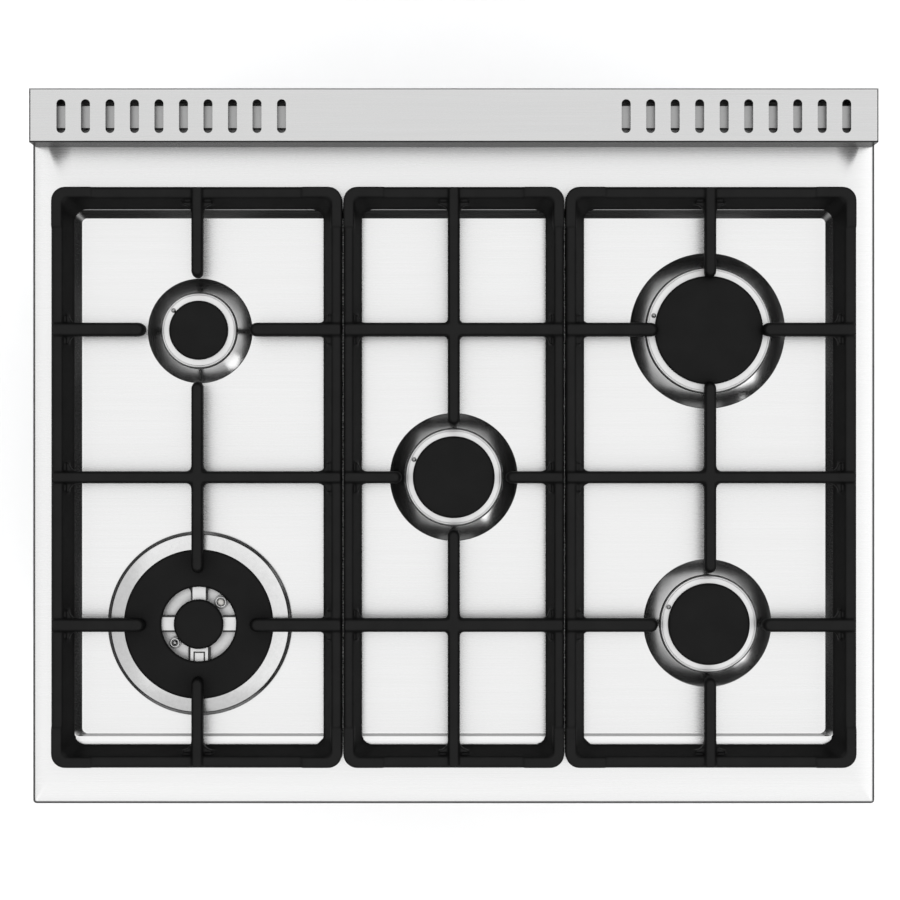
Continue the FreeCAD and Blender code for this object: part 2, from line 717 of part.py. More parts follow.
def make_knob(label, x):
    """A knob with a skirt, a tapered grip and a bore for its stem; its axis is Y."""
    skirt, grip, length = S["skirt_radius"], S["grip_radius"], S["knob_length"]
    bore = S["stem_radius"] + S["stem_play"]
    profile = [(bore, 0), (skirt, 0), (skirt, 4), (skirt - 2, 6), (grip + 1, 7),
               (grip, length - 3), (grip - 3, length), (0, length), (0, length - 8),
               (bore, length - 8)]
    body = turned(profile)
    body.Placement.Rotation = Rotation(Vector(1, 0, 0), 90)
    place(body, x, FRONT_FACE - S["knob_back"], S["knob_z"])
    return node(body, label)


def make_control_panel():
    """The folded control panel, bezels, knobs, stems, valves and the gas manifold."""
    sheet = S["sheet"]
    low, high = S["panel_low"], S["panel_high"]
    shell = block((-BODY_HALF, BODY_HALF), (FRONT_FACE, FRAME_FRONT), (low, high))
    hollow = block((-BODY_INNER, BODY_INNER), (FRONT_FACE + sheet, FRAME_FRONT),
                   (low + sheet, high - sheet))
    places = list(BURNER_KNOBS.values()) + [OVEN_KNOB]
    holes = [rod(S["stem_radius"] + 2, sheet + 1, (knob_x(at), FRONT_FACE - 0.5, S["knob_z"]),
                 "Y") for at in places]
    node(cut(cut(shell, [hollow]), holes), "control_panel")

    bezel_inner = S["skirt_radius"] + 1
    bezels = [tube(bezel_inner + S["bezel_width"], bezel_inner, 3,
                   (knob_x(at), FRONT_FACE - 3, S["knob_z"]), "Y") for at in places]
    node(group(bezels), "knob_bezels")

    for name, at in BURNER_KNOBS.items():
        make_knob(f"knob_{name}", knob_x(at))
        node(rod(S["stem_radius"], STEM_LENGTH, (knob_x(at), STEM_FRONT, S["knob_z"]), "Y"),
             f"valve_stem_{name}")
    make_knob("knob_oven", knob_x(OVEN_KNOB))

    valves = []
    valve_front, valve_back = FRONT_FACE + 20, FRONT_FACE + 52
    for at in places:
        x = knob_x(at)
        housing = fuse([
            block((x - 13, x + 13), (valve_front, valve_back), (MANIFOLD_TOP, S["knob_z"] + 14)),
            rod(9, 10, (x, valve_front - 10, S["knob_z"]), "Y"),
        ])
        if at == OVEN_KNOB:
            valves.append(fuse([housing, rod(S["stem_radius"], STEM_LENGTH,
                                             (x, STEM_FRONT, S["knob_z"]), "Y")]))
        else:
            valves.append(cut(housing, [rod(S["stem_radius"] + S["stem_play"], 28,
                                            (x, valve_front - 11, S["knob_z"]), "Y")]))
    node(group(valves), "gas_valves")

    rail_y = (FRONT_FACE + 26, FRONT_FACE + 46)
    rail = cut(block((-310, GAS_X + 10), rail_y, (MANIFOLD_TOP - 20, MANIFOLD_TOP)),
               [block((-308, GAS_X + 8), (rail_y[0] + 2, rail_y[1] - 2),
                      (MANIFOLD_TOP - 18, MANIFOLD_TOP - 2))])
    feed_length = HALF_DEPTH - 1 - rail_y[1]
    feed = rod(8, feed_length, (GAS_X, rail_y[1] - 1, GAS_Z), "Y")
    inlet_end = HALF_DEPTH - 1.5
    pipe = rod(S["pipe_radius"], 40, (GAS_X, inlet_end - 40, GAS_Z), "Y")
    stub = rod(S["inlet_radius"], S["inlet_length"],
               (GAS_X, inlet_end - S["inlet_length"], GAS_Z), "Y")
    way = rod(S["inlet_bore"], 30, (GAS_X, inlet_end - 30, GAS_Z), "Y")
    node(cut(fuse([rail, feed, pipe, stub]), [way]), "gas_manifold")


MANIFOLD_TOP = GAS_Z + 10
STEM_FRONT = FRONT_FACE - S["knob_back"] - 18
STEM_LENGTH = as_size(54)


# ---------------------------------------------------------------- oven

def make_oven():
    """Enamelled cavity, floor plate, two gas burners, rack guides and two racks."""
    half, low, high, sheet = S["cavity_half"], S["cavity_low"], S["cavity_high"], S["sheet"]
    box_outer = block((-half - sheet, half + sheet), (FRAME_BACK, CAVITY_BACK_OUTER),
                      (low - sheet, high + sheet))
    box_inner = block((-half, half), (FRAME_BACK, CAVITY_BACK), (low, high))
    wall, duct_half, duct_low = S["thin_sheet"], S["duct_half"], S["duct_low"]
    duct_outer = block((-duct_half, duct_half), (CAVITY_BACK_OUTER, BACK_INNER),
                       (duct_low, HOB_UNDER))
    duct_inner = block((-duct_half + wall, duct_half - wall),
                       (CAVITY_BACK_OUTER, BACK_INNER - wall), (duct_low + wall, HOB_UNDER))
    duct = cut(duct_outer, [duct_inner])
    vent = block((-S["vent_half"], S["vent_half"]), (CAVITY_BACK - 1, CAVITY_BACK_OUTER + 1),
                 (S["vent_low"], S["vent_high"]))
    feed_hole = rod(13, sheet + 2, (0, CAVITY_BACK - 1, OVEN_BURNER_Z), "Y")
    node(cut(fuse([cut(box_outer, [box_inner]), duct]), [vent, feed_hole]), "oven_cavity")

    plate_top = low + 36
    plate_y = (FRAME_BACK + 10, CAVITY_BACK - 6)
    outer = block((-half + 3, half - 3), plate_y, (low, plate_top))
    inner = block((-half + 3 + wall, half - 3 - wall), plate_y, (low, plate_top - wall))
    slots = []
    for side in (-1, 1):
        for count in range(6):
            y = plate_y[0] + 40 + count * 62
            slots.append(block(span(side, half - 40, half - 15), (y, y + 36),
                               (plate_top - 3, plate_top + 1)))
    node(cut(cut(outer, [inner]), slots), "oven_floor_plate")

    burner_y = FRAME_BACK + 60
    length = BACK_INNER - 2 - burner_y
    stands = [block((-14, 14), (y, y + 4), (low, OVEN_BURNER_Z))
              for y in (burner_y + 20, burner_y + 340)]
    node(fuse([rod(10, length, (0, burner_y, OVEN_BURNER_Z), "Y")] + stands), "oven_burner")

    broil_z = high - 16
    broil_y = FRAME_BACK + 80
    hangers = [block((-20, 20), (y, y + 4), (broil_z, high)) for y in (broil_y + 30,
                                                                    broil_y + 280)]
    wings = block((-90, 90), (broil_y, broil_y + 340), (broil_z + 4, broil_z + 5.5))
    node(fuse([rod(9, 340, (0, broil_y, broil_z), "Y"), wings] + hangers), "broil_burner")

    make_rack_guides()
    for label, level in (("oven_rack_lower", S["rack_low"]), ("oven_rack_upper",
                                                              S["rack_high"])):
        make_rack(label, level)


def make_rack_guides():
    """A ladder of ledges on each side wall of the cavity."""
    half = S["cavity_half"]
    y_front, y_back = FRAME_BACK + 12, CAVITY_BACK - 12

    def ladder(side):
        ledges = [block(span(side, half - 16, half), (y_front, y_back),
                        (level - S["rack_rod"] - 2.3, level - S["rack_rod"] - 0.3))
                  for level in (S["rack_low"], S["rack_high"])]
        posts = [block(span(side, half - 4, half), (y, y + 6),
                       (S["cavity_low"] + 60, S["cavity_high"] - 60))
                 for y in (y_front + 30, y_back - 36)]
        return fuse(ledges + posts)

    node(group(both_sides(ladder)), "rack_guides")


def make_rack(label, level):
    """A wire rack: a bent rim rod, two cross rods and long wires on top of them."""
    half, rod_radius, wire = S["rack_half"], S["rack_rod"], S["rack_wire"]
    front = FRAME_BACK + S["rack_front_gap"]
    depth = S["rack_depth"]
    pieces = [rod(rod_radius, depth, (side * half, front, level), "Y") for side in (-1, 1)]
    for y in (front, front + depth * 0.33, front + depth * 0.67, front + depth):
        pieces.append(rod(rod_radius, half * 2, (-half, y, level), "X"))
    for side_x in (-half, half):
        for y in (front, front + depth):
            knuckle = doc.addObject("Part::Sphere", "Knuckle")
            bind(knuckle, "Radius", rod_radius)
            place(knuckle, side_x, y, level)
            pieces.append(knuckle)
    for count in range(-6, 7):
        pieces.append(rod(wire, depth, (as_size(count * 41), front, level + 2.5), "Y"))
    node(fuse(pieces), label)


OVEN_BURNER_Z = S["cavity_low"] + S["oven_burner_rise"]


# ---------------------------------------------------------------- door

def make_door():
    """The drop-down door: outer skin, two panes, inner panel, handle, and fixed parts."""
    half, low, high, sheet = S["door_half"], S["door_low"], S["door_high"], S["sheet"]
    skin_back = FRONT_FACE + sheet
    tray = block((-half, half), (FRONT_FACE, DOOR_BACK - 3), (low, high))
    tray_hollow = block((-half + sheet, half - sheet), (skin_back, DOOR_BACK - 3),
                        (low + sheet, high - sheet))
    window = block((-S["window_half"], S["window_half"]), (FRONT_FACE - 1, skin_back),
                   (S["window_low"], S["window_high"]))
    notches = [block(span(side, HINGE_NEAR - 3, HINGE_FAR + 3), (PIVOT_Y - 8, DOOR_BACK),
                     (low - 1, low + sheet)) for side in (-1, 1)]
    node(cut(cut(tray, [tray_hollow]), [window] + notches), "door_outer_panel")

    pane = 16
    node(block((-S["window_half"] - pane, S["window_half"] + pane), (skin_back, skin_back + 4),
               (S["window_low"] - pane, S["window_high"] + pane)), "door_outer_glass")

    inner_low = low + 34
    panel = block((-half, half), (DOOR_BACK - 3, DOOR_BACK), (inner_low, high))
    sight = block((-S["window_half"] + 10, S["window_half"] - 10), (DOOR_BACK - 4, DOOR_BACK + 1),
                  (S["window_low"] + 10, S["window_high"] - 10))
    node(cut(panel, [sight]), "door_inner_panel")
    node(block((-S["window_half"] - 5, S["window_half"] + 5), (DOOR_BACK - 7, DOOR_BACK - 3),
               (S["window_low"] - 5, S["window_high"] + 5)), "door_inner_glass")

    bar_y = FRONT_FACE - S["handle_reach"]
    bar = rod(S["handle_radius"], S["handle_half"] * 2, (-S["handle_half"], bar_y,
                                                         S["handle_z"]), "X")
    posts = [rod(7, S["handle_reach"], (side * (S["handle_half"] - 25), bar_y, S["handle_z"]),
                 "Y") for side in (-1, 1)]
    node(fuse([bar] + posts), "door_handle")

    inside = 7                                       # from the cavity's mouth to the seal
    outside = S["gasket_width"] + inside
    seal_y = (FRAME_FRONT - S["gasket_depth"], FRAME_FRONT)
    node(cut(around_mouth(outside, seal_y),
             [around_mouth(inside, (seal_y[0] - 1, seal_y[1] + 1))]), "door_gasket")

    def hinge(side):
        arm = block(span(side, HINGE_NEAR, HINGE_FAR), (PIVOT_Y, FRAME_FRONT),
                    (PIVOT_Z - 5, PIVOT_Z + 5))
        foot = block(span(side, HINGE_NEAR - 8, HINGE_FAR + 8), (FRAME_FRONT - 2, FRAME_FRONT),
                     (PIVOT_Z - 20, PIVOT_Z + 20))
        eye = rod(5, HINGE_FAR - HINGE_NEAR, (span(side, HINGE_NEAR, HINGE_FAR)[0],
                                              PIVOT_Y, PIVOT_Z), "X")
        return fuse([arm, foot, eye])

    node(group(both_sides(hinge)), "door_hinge_arms")


def around_mouth(margin, y):
    """A block that reaches past the oven's mouth by a margin on all four sides."""
    half = S["cavity_half"] + margin
    return block((-half, half), y, (S["cavity_low"] - margin, S["cavity_high"] + margin))


HINGE_NEAR = S["hinge_near"]
HINGE_FAR = S["hinge_far"]


# ---------------------------------------------------------------- drawer

def make_drawer():
    """The storage drawer: front, open box with side glides, and the fixed runners."""
    low, high, half, sheet = S["drawer_low"], S["drawer_high"], S["door_half"], S["sheet"]
    front_back = FRONT_FACE + 20
    tray = block((-half, half), (FRONT_FACE, front_back), (low, high))
    hollow = block((-half + sheet, half - sheet), (FRONT_FACE + sheet, front_back),
                   (low + sheet, high - sheet))
    node(cut(tray, [hollow]), "drawer_front")

    box_half = S["drawer_box_half"]
    box_y = (FRONT_FACE + sheet, FRONT_FACE + sheet + S["drawer_depth"])
    box_z = (low + 8, high - 16)
    wall = S["thin_sheet"]
    shell = cut(block((-box_half, box_half), box_y, box_z),
                [block((-box_half + wall, box_half - wall), (box_y[0] + wall, box_y[1] - wall),
                       (box_z[0] + wall, box_z[1]))])
    glides = [block(span(side, box_half, box_half + 12), (front_back + 20, box_y[1]),
                    (GLIDE_Z, GLIDE_Z + 10)) for side in (-1, 1)]
    node(fuse([shell] + glides), "drawer_box")

    def runner(side):
        body = block(span(side, box_half + 5, box_half + 22), (FRAME_BACK, box_y[1] + 10),
                     (S["base_high"], GLIDE_Z + 20))
        groove = block(span(side, box_half + 5, box_half + 12.5), (FRAME_BACK, box_y[1] + 0.5),
                       (GLIDE_Z - 0.4, GLIDE_Z + 10.4))
        return cut(body, [groove])

    node(group(both_sides(runner)), "drawer_runners")


GLIDE_Z = S["glide_z"]


def make_power_inlet():
    """The appliance inlet on the back panel."""
    z = S["power_inlet_z"]
    housing = block((-325, -275), (BACK_FACE, BACK_FACE + 12), (z - 15, z + 15))
    recess = block((-320, -280), (BACK_FACE + 3, BACK_FACE + 12), (z - 11, z + 11))
    node(cut(housing, [recess]), "power_inlet")


# ---------------------------------------------------------------- build and export

def check_and_export():
    """Stop on any failed object or bad shape, then write one STEP file per sub-part."""
    doc.recompute()
    for thing in doc.Objects:
        if "Invalid" in thing.State or "Error" in thing.State:
            raise RuntimeError(f"{thing.Name} ({thing.Label}) failed: {thing.State}")
    for piece in nodes:
        if piece.Shape.isNull() or not piece.Shape.isValid():
            raise RuntimeError(f"{piece.Label} has a bad shape")
    os.makedirs("parts", exist_ok=True)
    for piece in nodes:
        piece.Shape.exportStep(f"parts/{piece.Label}.step")
    print(len(nodes), "sub-parts written")


make_chassis()
make_hob()
make_vent()
make_burners()
make_grates()
make_control_panel()
make_oven()
make_door()
make_drawer()
make_power_inlet()
check_and_export()
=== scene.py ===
"""Looks of a freestanding gas range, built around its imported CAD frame."""
import json
import math

import bmesh
import bpy
from mathutils import Matrix, Vector


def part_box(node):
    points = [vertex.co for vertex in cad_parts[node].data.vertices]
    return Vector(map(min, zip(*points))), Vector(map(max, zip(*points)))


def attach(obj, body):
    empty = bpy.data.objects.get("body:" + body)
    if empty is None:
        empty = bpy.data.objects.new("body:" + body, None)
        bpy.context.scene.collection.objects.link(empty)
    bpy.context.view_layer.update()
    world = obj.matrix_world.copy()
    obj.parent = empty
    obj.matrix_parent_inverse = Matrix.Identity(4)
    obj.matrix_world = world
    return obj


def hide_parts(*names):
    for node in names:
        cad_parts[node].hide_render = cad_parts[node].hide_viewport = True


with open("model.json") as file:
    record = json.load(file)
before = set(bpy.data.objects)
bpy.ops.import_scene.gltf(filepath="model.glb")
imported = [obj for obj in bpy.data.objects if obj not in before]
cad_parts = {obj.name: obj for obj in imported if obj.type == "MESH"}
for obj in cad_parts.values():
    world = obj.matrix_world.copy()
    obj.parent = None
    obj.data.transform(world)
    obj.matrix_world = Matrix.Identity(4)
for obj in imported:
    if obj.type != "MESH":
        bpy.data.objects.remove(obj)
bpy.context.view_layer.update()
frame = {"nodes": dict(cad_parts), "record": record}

NODES = frame["nodes"]
BODY_OF = {name: body for body, names in frame["record"]["behaviour"]["bodies"].items()
           for name in names}
MM = 0.001


def corners(node):
    """Lowest and highest corner of a CAD node as vectors."""
    low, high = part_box(node)
    return Vector(low), Vector(high)


def middle(node):
    """Centre of a CAD node's box."""
    low, high = corners(node)
    return (low + high) / 2


HOB_LOW, HOB_HIGH = corners("hob_top")
HALF_WIDTH, HALF_DEPTH = HOB_HIGH.x, HOB_HIGH.y
GRATE_LOW, GRATE_HIGH = corners("grate_left")
HOB_TOP = GRATE_LOW.z
WELL_DEPTH = 8 * MM
WELL_FLOOR = HOB_TOP - WELL_DEPTH


# ---------------------------------------------------------------- material helpers

def grey(value):
    return (value, value, value)


def set_stops(ramp, stops):
    """Give a colour ramp its (position, colour) stops."""
    elements = ramp.color_ramp.elements
    while len(elements) < len(stops):
        elements.new(0.5)
    for element, (position, colour) in zip(elements, stops):
        element.position = position
        element.color = (*colour, 1.0)


class Shade:
    """A principled material with the few node shortcuts that the materials share."""

    def __init__(self, name):
        self.material = bpy.data.materials.new(name)
        self.material.use_nodes = True
        self.tree = self.material.node_tree
        self.shader = self.tree.nodes["Principled BSDF"]
        self.place = self.tree.nodes.new("ShaderNodeTexCoord").outputs["Object"]

    def set(self, **values):
        """Set sockets on the shader; underscores in a name stand for spaces."""
        for name, value in values.items():
            self.shader.inputs[name.replace("_", " ")].default_value = value

    def link(self, output, socket):
        self.tree.links.new(output, self.shader.inputs[socket])

    def stretched(self, scale):
        """Object coordinates multiplied by a scale on each axis."""
        mapping = self.tree.nodes.new("ShaderNodeMapping")
        mapping.inputs["Scale"].default_value = scale
        self.tree.links.new(self.place, mapping.inputs["Vector"])
        return mapping.outputs["Vector"]

    def noise(self, scale, detail=3.0, stretch=(1, 1, 1), roughness=0.5):
        """Noise in object space; scale is in cycles per metre."""
        texture = self.tree.nodes.new("ShaderNodeTexNoise")
        texture.inputs["Scale"].default_value = scale
        texture.inputs["Detail"].default_value = detail
        texture.inputs["Roughness"].default_value = roughness
        self.tree.links.new(self.stretched(stretch), texture.inputs["Vector"])
        return texture.outputs["Fac"]

    def ramp(self, factor, stops):
        """Map a factor through (position, colour) stops."""
        ramp = self.tree.nodes.new("ShaderNodeValToRGB")
        set_stops(ramp, stops)
        self.tree.links.new(factor, ramp.inputs["Fac"])
        return ramp.outputs["Color"]

    def between(self, factor, low, high):
        """Map a 0..1 factor onto low..high."""
        remap = self.tree.nodes.new("ShaderNodeMapRange")
        remap.inputs["To Min"].default_value = low
        remap.inputs["To Max"].default_value = high
        self.tree.links.new(factor, remap.inputs["Value"])
        return remap.outputs["Result"]

    def by_normal(self, axis, near, far, low, high):
        """Map one part of the object's own normal from near..far onto low..high."""
        coordinates = self.tree.nodes.new("ShaderNodeTexCoord")
        split = self.tree.nodes.new("ShaderNodeSeparateXYZ")
        self.tree.links.new(coordinates.outputs["Normal"], split.inputs["Vector"])
        remap = self.tree.nodes.new("ShaderNodeMapRange")
        remap.inputs["From Min"].default_value = near
        remap.inputs["From Max"].default_value = far
        remap.inputs["To Min"].default_value = low
        remap.inputs["To Max"].default_value = high
        self.tree.links.new(split.outputs[axis], remap.inputs["Value"])
        return remap.outputs["Result"]

    def scaled(self, colour, factor):
        """A colour multiplied by a factor."""
        scale = self.tree.nodes.new("ShaderNodeVectorMath")
        scale.operation = "SCALE"
        self.tree.links.new(colour, scale.inputs[0])
        self.tree.links.new(factor, scale.inputs["Scale"])
        return scale.outputs["Vector"]

    def paint_front_shade(self, colour, share):
        """Painted shade: multiply the colour by share on faces that look towards -Y."""
        return self.scaled(colour, self.by_normal("Y", -0.95, -0.5, share, 1.0))

    def paint_fold_shade(self, colour, share):
        """Painted shade: multiply by share on leaning faces: folds and pressed shoulders, but
        not walls.

        Faces that lean to the rear keep their tone.
        """
        lean = self.by_normal("Z", 0.0, 1.0, 0.0, 1.0)
        folds = self.ramp(lean, [(0.10, grey(1.0)), (0.20, grey(share)), (0.80, grey(share)),
                                 (0.97, grey(1.0))])
        lighter = self.tree.nodes.new("ShaderNodeMath")
        lighter.operation = "MAXIMUM"
        self.tree.links.new(folds, lighter.inputs[0])
        self.tree.links.new(self.by_normal("Y", 0.25, 0.6, 0.0, 0.85), lighter.inputs[1])
        return self.scaled(colour, lighter.outputs["Value"])

    def bump(self, height, distance, strength=1.0):
        """Bump the shader's normal by a height."""
        node = self.tree.nodes.new("ShaderNodeBump")
        node.inputs["Strength"].default_value = strength
        node.inputs["Distance"].default_value = distance
        self.tree.links.new(height, node.inputs["Height"])
        previous = self.shader.inputs["Normal"].links
        if previous:
            self.tree.links.new(previous[0].from_socket, node.inputs["Normal"])
        self.link(node.outputs["Normal"], "Normal")


def brushed(name, tone, rough, stretch, tint=(1.0, 1.0, 1.0), front_shade=None,
            fold_shade=None, depth=1.0):
    """Sheet steel with fine brushing along the axis that stretch leaves long.

    front_shade paints shade on the faces that look forwards and lowers the glare, fold_shade
    paints shade on the folds, and depth is the strength of the brushing.
    """
    shade = Shade(name)
    shade.set(Metallic=1.0)
    grain = shade.noise(1.0, 4.0, stretch, 0.65)
    cloud = shade.noise(5.0, 2.0)
    low = tuple((1.0 - 0.07 * depth) * tone * part for part in tint)
    high = tuple(min(1.0, (1.0 + 0.05 * depth) * tone) * part for part in tint)
    colour = shade.ramp(grain, [(0.25, low), (0.75, high)])
    if front_shade is not None:
        colour = shade.paint_front_shade(colour, front_shade)
        shade.set(Specular_Tint=(*grey(0.25), 1.0))
    if fold_shade is not None:
        colour = shade.paint_fold_shade(colour, fold_shade)
    shade.link(colour, "Base Color")
    mix = shade.tree.nodes.new("ShaderNodeMath")
    mix.operation = "MULTIPLY_ADD"
    mix.inputs[1].default_value = 0.6
    shade.tree.links.new(grain, mix.inputs[0])
    shade.tree.links.new(shade.between(cloud, 0.1, 0.3), mix.inputs[2])
    shade.link(shade.between(mix.outputs["Value"], rough * 0.75, rough * 1.25), "Roughness")
    shade.bump(grain, 0.00003, 0.5 * depth)
    return shade.material


def cast_iron():
    """Matt black enamel over a sand-cast surface."""
    shade = Shade("cast_iron_enamel")
    fine = shade.noise(1400, 3.0)
    patch = shade.noise(60, 3.0)
    shade.link(shade.ramp(patch, [(0.3, grey(0.0028)), (0.7, grey(0.0042))]), "Base Color")
    shade.link(shade.between(fine, 0.48, 0.68), "Roughness")
    # Painted shade: steep faces get less glare than the tops, so the inner walls read darker
    shade.link(shade.by_normal("Z", 0.3, 0.85, 0.03, 0.115), "Specular IOR Level")
    shade.bump(fine, 0.00018, 0.5)
    shade.bump(patch, 0.0006, 0.25)
    return shade.material


def cap_enamel():
    """Semi-matt black vitreous enamel with a slight orange peel."""
    shade = Shade("cap_enamel")
    peel = shade.noise(450, 2.0)
    patch = shade.noise(40, 2.0)
    shade.link(shade.ramp(patch, [(0.3, grey(0.0035)), (0.7, grey(0.0048))]), "Base Color")
    shade.link(shade.between(peel, 0.42, 0.58), "Roughness")
    shade.set(Specular_IOR_Level=0.07)
    shade.bump(peel, 0.00008, 0.35)
    return shade.material


def cast_aluminium(name="cast_aluminium", tone=0.46, rough=0.38):
    """Machined casting: fine grain, slightly cloudy."""
    shade = Shade(name)
    fine = shade.noise(900, 4.0, roughness=0.6)
    cloud = shade.noise(45, 3.0)
    shade.set(Metallic=1.0)
    colour = shade.ramp(cloud, [(0.25, grey(tone * 0.9)), (0.75, grey(tone * 1.06))])
    # Painted shade: the colour falls to 0.18 of the top's on steep sides
    shade.link(shade.scaled(colour, shade.by_normal("Z", 0.1, 0.8, 0.18, 1.0)), "Base Color")
    shade.link(shade.between(fine, rough * 0.8, rough * 1.25), "Roughness")
    shade.bump(fine, 0.00006, 0.4)
    return shade.material


def polished(name, tone, rough):
    """Polished metal with faint wipe marks."""
    shade = Shade(name)
    wipe = shade.noise(70, 3.0, (1.0, 3.0, 1.0))
    shade.set(Metallic=1.0)
    shade.link(shade.ramp(wipe, [(0.3, grey(tone * 0.94)), (0.7, grey(tone))]), "Base Color")
    shade.link(shade.between(wipe, rough * 0.6, rough * 1.5), "Roughness")
    return shade.material


def painted(name, colour, rough, peel_scale=500, peel=0.00006, spread=0.06):
    """Powder coat or enamel paint with orange peel."""
    shade = Shade(name)
    skin = shade.noise(peel_scale, 2.0)
    cloud = shade.noise(9, 2.0)
    low = tuple(part * (1 - spread) for part in colour)
    high = tuple(min(1.0, part * (1 + spread)) for part in colour)
    shade.link(shade.ramp(cloud, [(0.3, low), (0.7, high)]), "Base Color")
    shade.link(shade.between(skin, rough * 0.85, rough * 1.15), "Roughness")
    shade.bump(skin, peel, 0.4)
    return shade.material


def oven_enamel():
    """Dark blue-grey enamel with pale specks."""
    shade = Shade("oven_enamel")
    specks = shade.noise(1500, 1.0)
    shade.link(shade.ramp(specks, [(0.0, (0.012, 0.014, 0.02)), (0.66, (0.016, 0.018, 0.026)),
                                   (0.74, (0.22, 0.23, 0.26))]), "Base Color")
    skin = shade.noise(300, 2.0)
    shade.link(shade.between(skin, 0.16, 0.3), "Roughness")
    shade.bump(skin, 0.00006, 0.3)
    return shade.material


def galvanised():
    """Zinc-coated sheet with a soft spangle."""
    shade = Shade("galvanised")
    cells = shade.tree.nodes.new("ShaderNodeTexVoronoi")
    cells.inputs["Scale"].default_value = 240
    shade.tree.links.new(shade.place, cells.inputs["Vector"])
    shade.set(Metallic=1.0)
    shade.link(shade.ramp(cells.outputs["Color"], [(0.0, (0.30, 0.31, 0.33)),
                                                   (1.0, (0.40, 0.41, 0.43))]), "Base Color")
    shade.link(shade.between(cells.outputs["Distance"], 0.36, 0.52), "Roughness")
    return shade.material


def door_glass():
    """Dark tempered glass that lets the oven show faintly."""
    shade = Shade("door_glass")
    smear = shade.noise(30, 3.0)
    shade.link(shade.ramp(smear, [(0.3, (0.010, 0.011, 0.012)), (0.7, (0.014, 0.015, 0.016))]),
               "Base Color")
    shade.link(shade.between(smear, 0.03, 0.07), "Roughness")
    shade.set(IOR=1.5, Coat_Weight=0.3)
    return shade.material


def woven():
    """Braided fibre rope."""
    shade = Shade("gasket_fibre")
    braid = shade.tree.nodes.new("ShaderNodeTexWave")
    braid.inputs["Scale"].default_value = 160
    braid.bands_direction = "DIAGONAL"
    braid.inputs["Distortion"].default_value = 1.5
    shade.tree.links.new(shade.place, braid.inputs["Vector"])
    shade.link(shade.ramp(braid.outputs["Fac"], [(0.2, grey(0.05)), (0.8, grey(0.11))]),
               "Base Color")
    shade.set(Roughness=0.9)
    shade.bump(braid.outputs["Fac"], 0.0004, 0.8)
    return shade.material


def moulded(name, colour, rough):
    """Moulded plastic with a fine spark-eroded grain."""
    shade = Shade(name)
    grain = shade.noise(1800, 2.0)
    low = tuple(part * 0.9 for part in colour)
    shade.link(shade.ramp(grain, [(0.3, low), (0.7, colour)]), "Base Color")
    shade.link(shade.between(grain, rough * 0.9, rough * 1.1), "Roughness")
    shade.bump(grain, 0.00005, 0.3)
    return shade.material


ALONG_X = (6, 900, 900)     # grain in cycles per metre on each axis: long brush strokes along X
STEEL = brushed("steel_brushed", 0.50, 0.27, ALONG_X)
# steel_hob has painted shade on its folds; steel_trim has painted shade on its folds and its
# front face
STEEL_HOB = brushed("steel_hob", 0.50, 0.27, ALONG_X, fold_shade=0.2, depth=0.45)
STEEL_TRIM = brushed("steel_trim", 0.385, 0.27, ALONG_X, front_shade=0.5, fold_shade=0.15,
                     depth=0.45)
STEEL_RAW = brushed("steel_raw", 0.26, 0.34, ALONG_X, depth=0.5)
STEEL_SATIN = brushed("steel_satin", 0.50, 0.30, (500, 500, 60))
KNOB_METAL = brushed("knob_metal", 0.55, 0.26, (500, 30, 500))
IRON = cast_iron()
ENAMEL = cap_enamel()
ALUMINIUM = cast_aluminium()
ALUMINIUM_DARK = cast_aluminium("cast_aluminium_raw", 0.38, 0.5)
RING_METAL = brushed("ring_brushed", 0.42, 0.17, (120, 120, 120))
DISH_METAL = brushed("dish_satin", 0.36, 0.20, (260, 260, 260))
CHROME = polished("rack_chrome", 0.78, 0.14)
BODY_PAINT = painted("body_paint", (0.36, 0.37, 0.38), 0.42, spread=0.02)
OVEN = oven_enamel()
ZINC = galvanised()
GLASS = door_glass()
FIBRE = woven()
CERAMIC = painted("pin_ceramic", (0.42, 0.41, 0.39), 0.25, 300, 0.00003)
PIN_STEEL = polished("pin_steel", 0.22, 0.3)
# dark strips on the wok burner: painted shade for its slots
SLOT_SHADE = cast_aluminium("painted_slot_shade", 0.06, 0.6)
BRASS = brushed("valve_brass", 0.75, 0.35, (300, 300, 40), (1.0, 0.78, 0.40))
PIPE = brushed("burner_steel", 0.50, 0.45, (200, 30, 200))
INLET = moulded("inlet_plastic", grey(0.03), 0.45)


# ---------------------------------------------------------------- mesh helpers

def translation(x, y, z):
    return Matrix.Translation((x, y, z))


def scaling(x, y, z):
    return Matrix.Diagonal((x, y, z, 1))


def add_object(name, data):
    """A new object in the scene."""
    item = bpy.data.objects.new(name, data)
    bpy.context.scene.collection.objects.link(item)
    return item


def finish_piece(name, mesh, material, node, sharp=35):
    """Make a mesh into a smooth-shaded piece that rides on a node's body."""
    piece = add_object(name, mesh)
    mesh.materials.clear()
    mesh.materials.append(material)
    smooth(mesh, sharp)
    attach(piece, BODY_OF[node])
    return piece


def smooth(mesh, sharp=35):
    """Shade smooth, and keep edges sharper than the angle."""
    mesh.polygons.foreach_set("use_smooth", [True] * len(mesh.polygons))
    mesh.set_sharp_from_angle(angle=math.radians(sharp))


def from_bmesh(name, shape):
    """A mesh from a bmesh, with its normals made consistent."""
    bmesh.ops.recalc_face_normals(shape, faces=shape.faces)
    mesh = bpy.data.meshes.new(name)
    shape.to_mesh(mesh)
    shape.free()
    return mesh


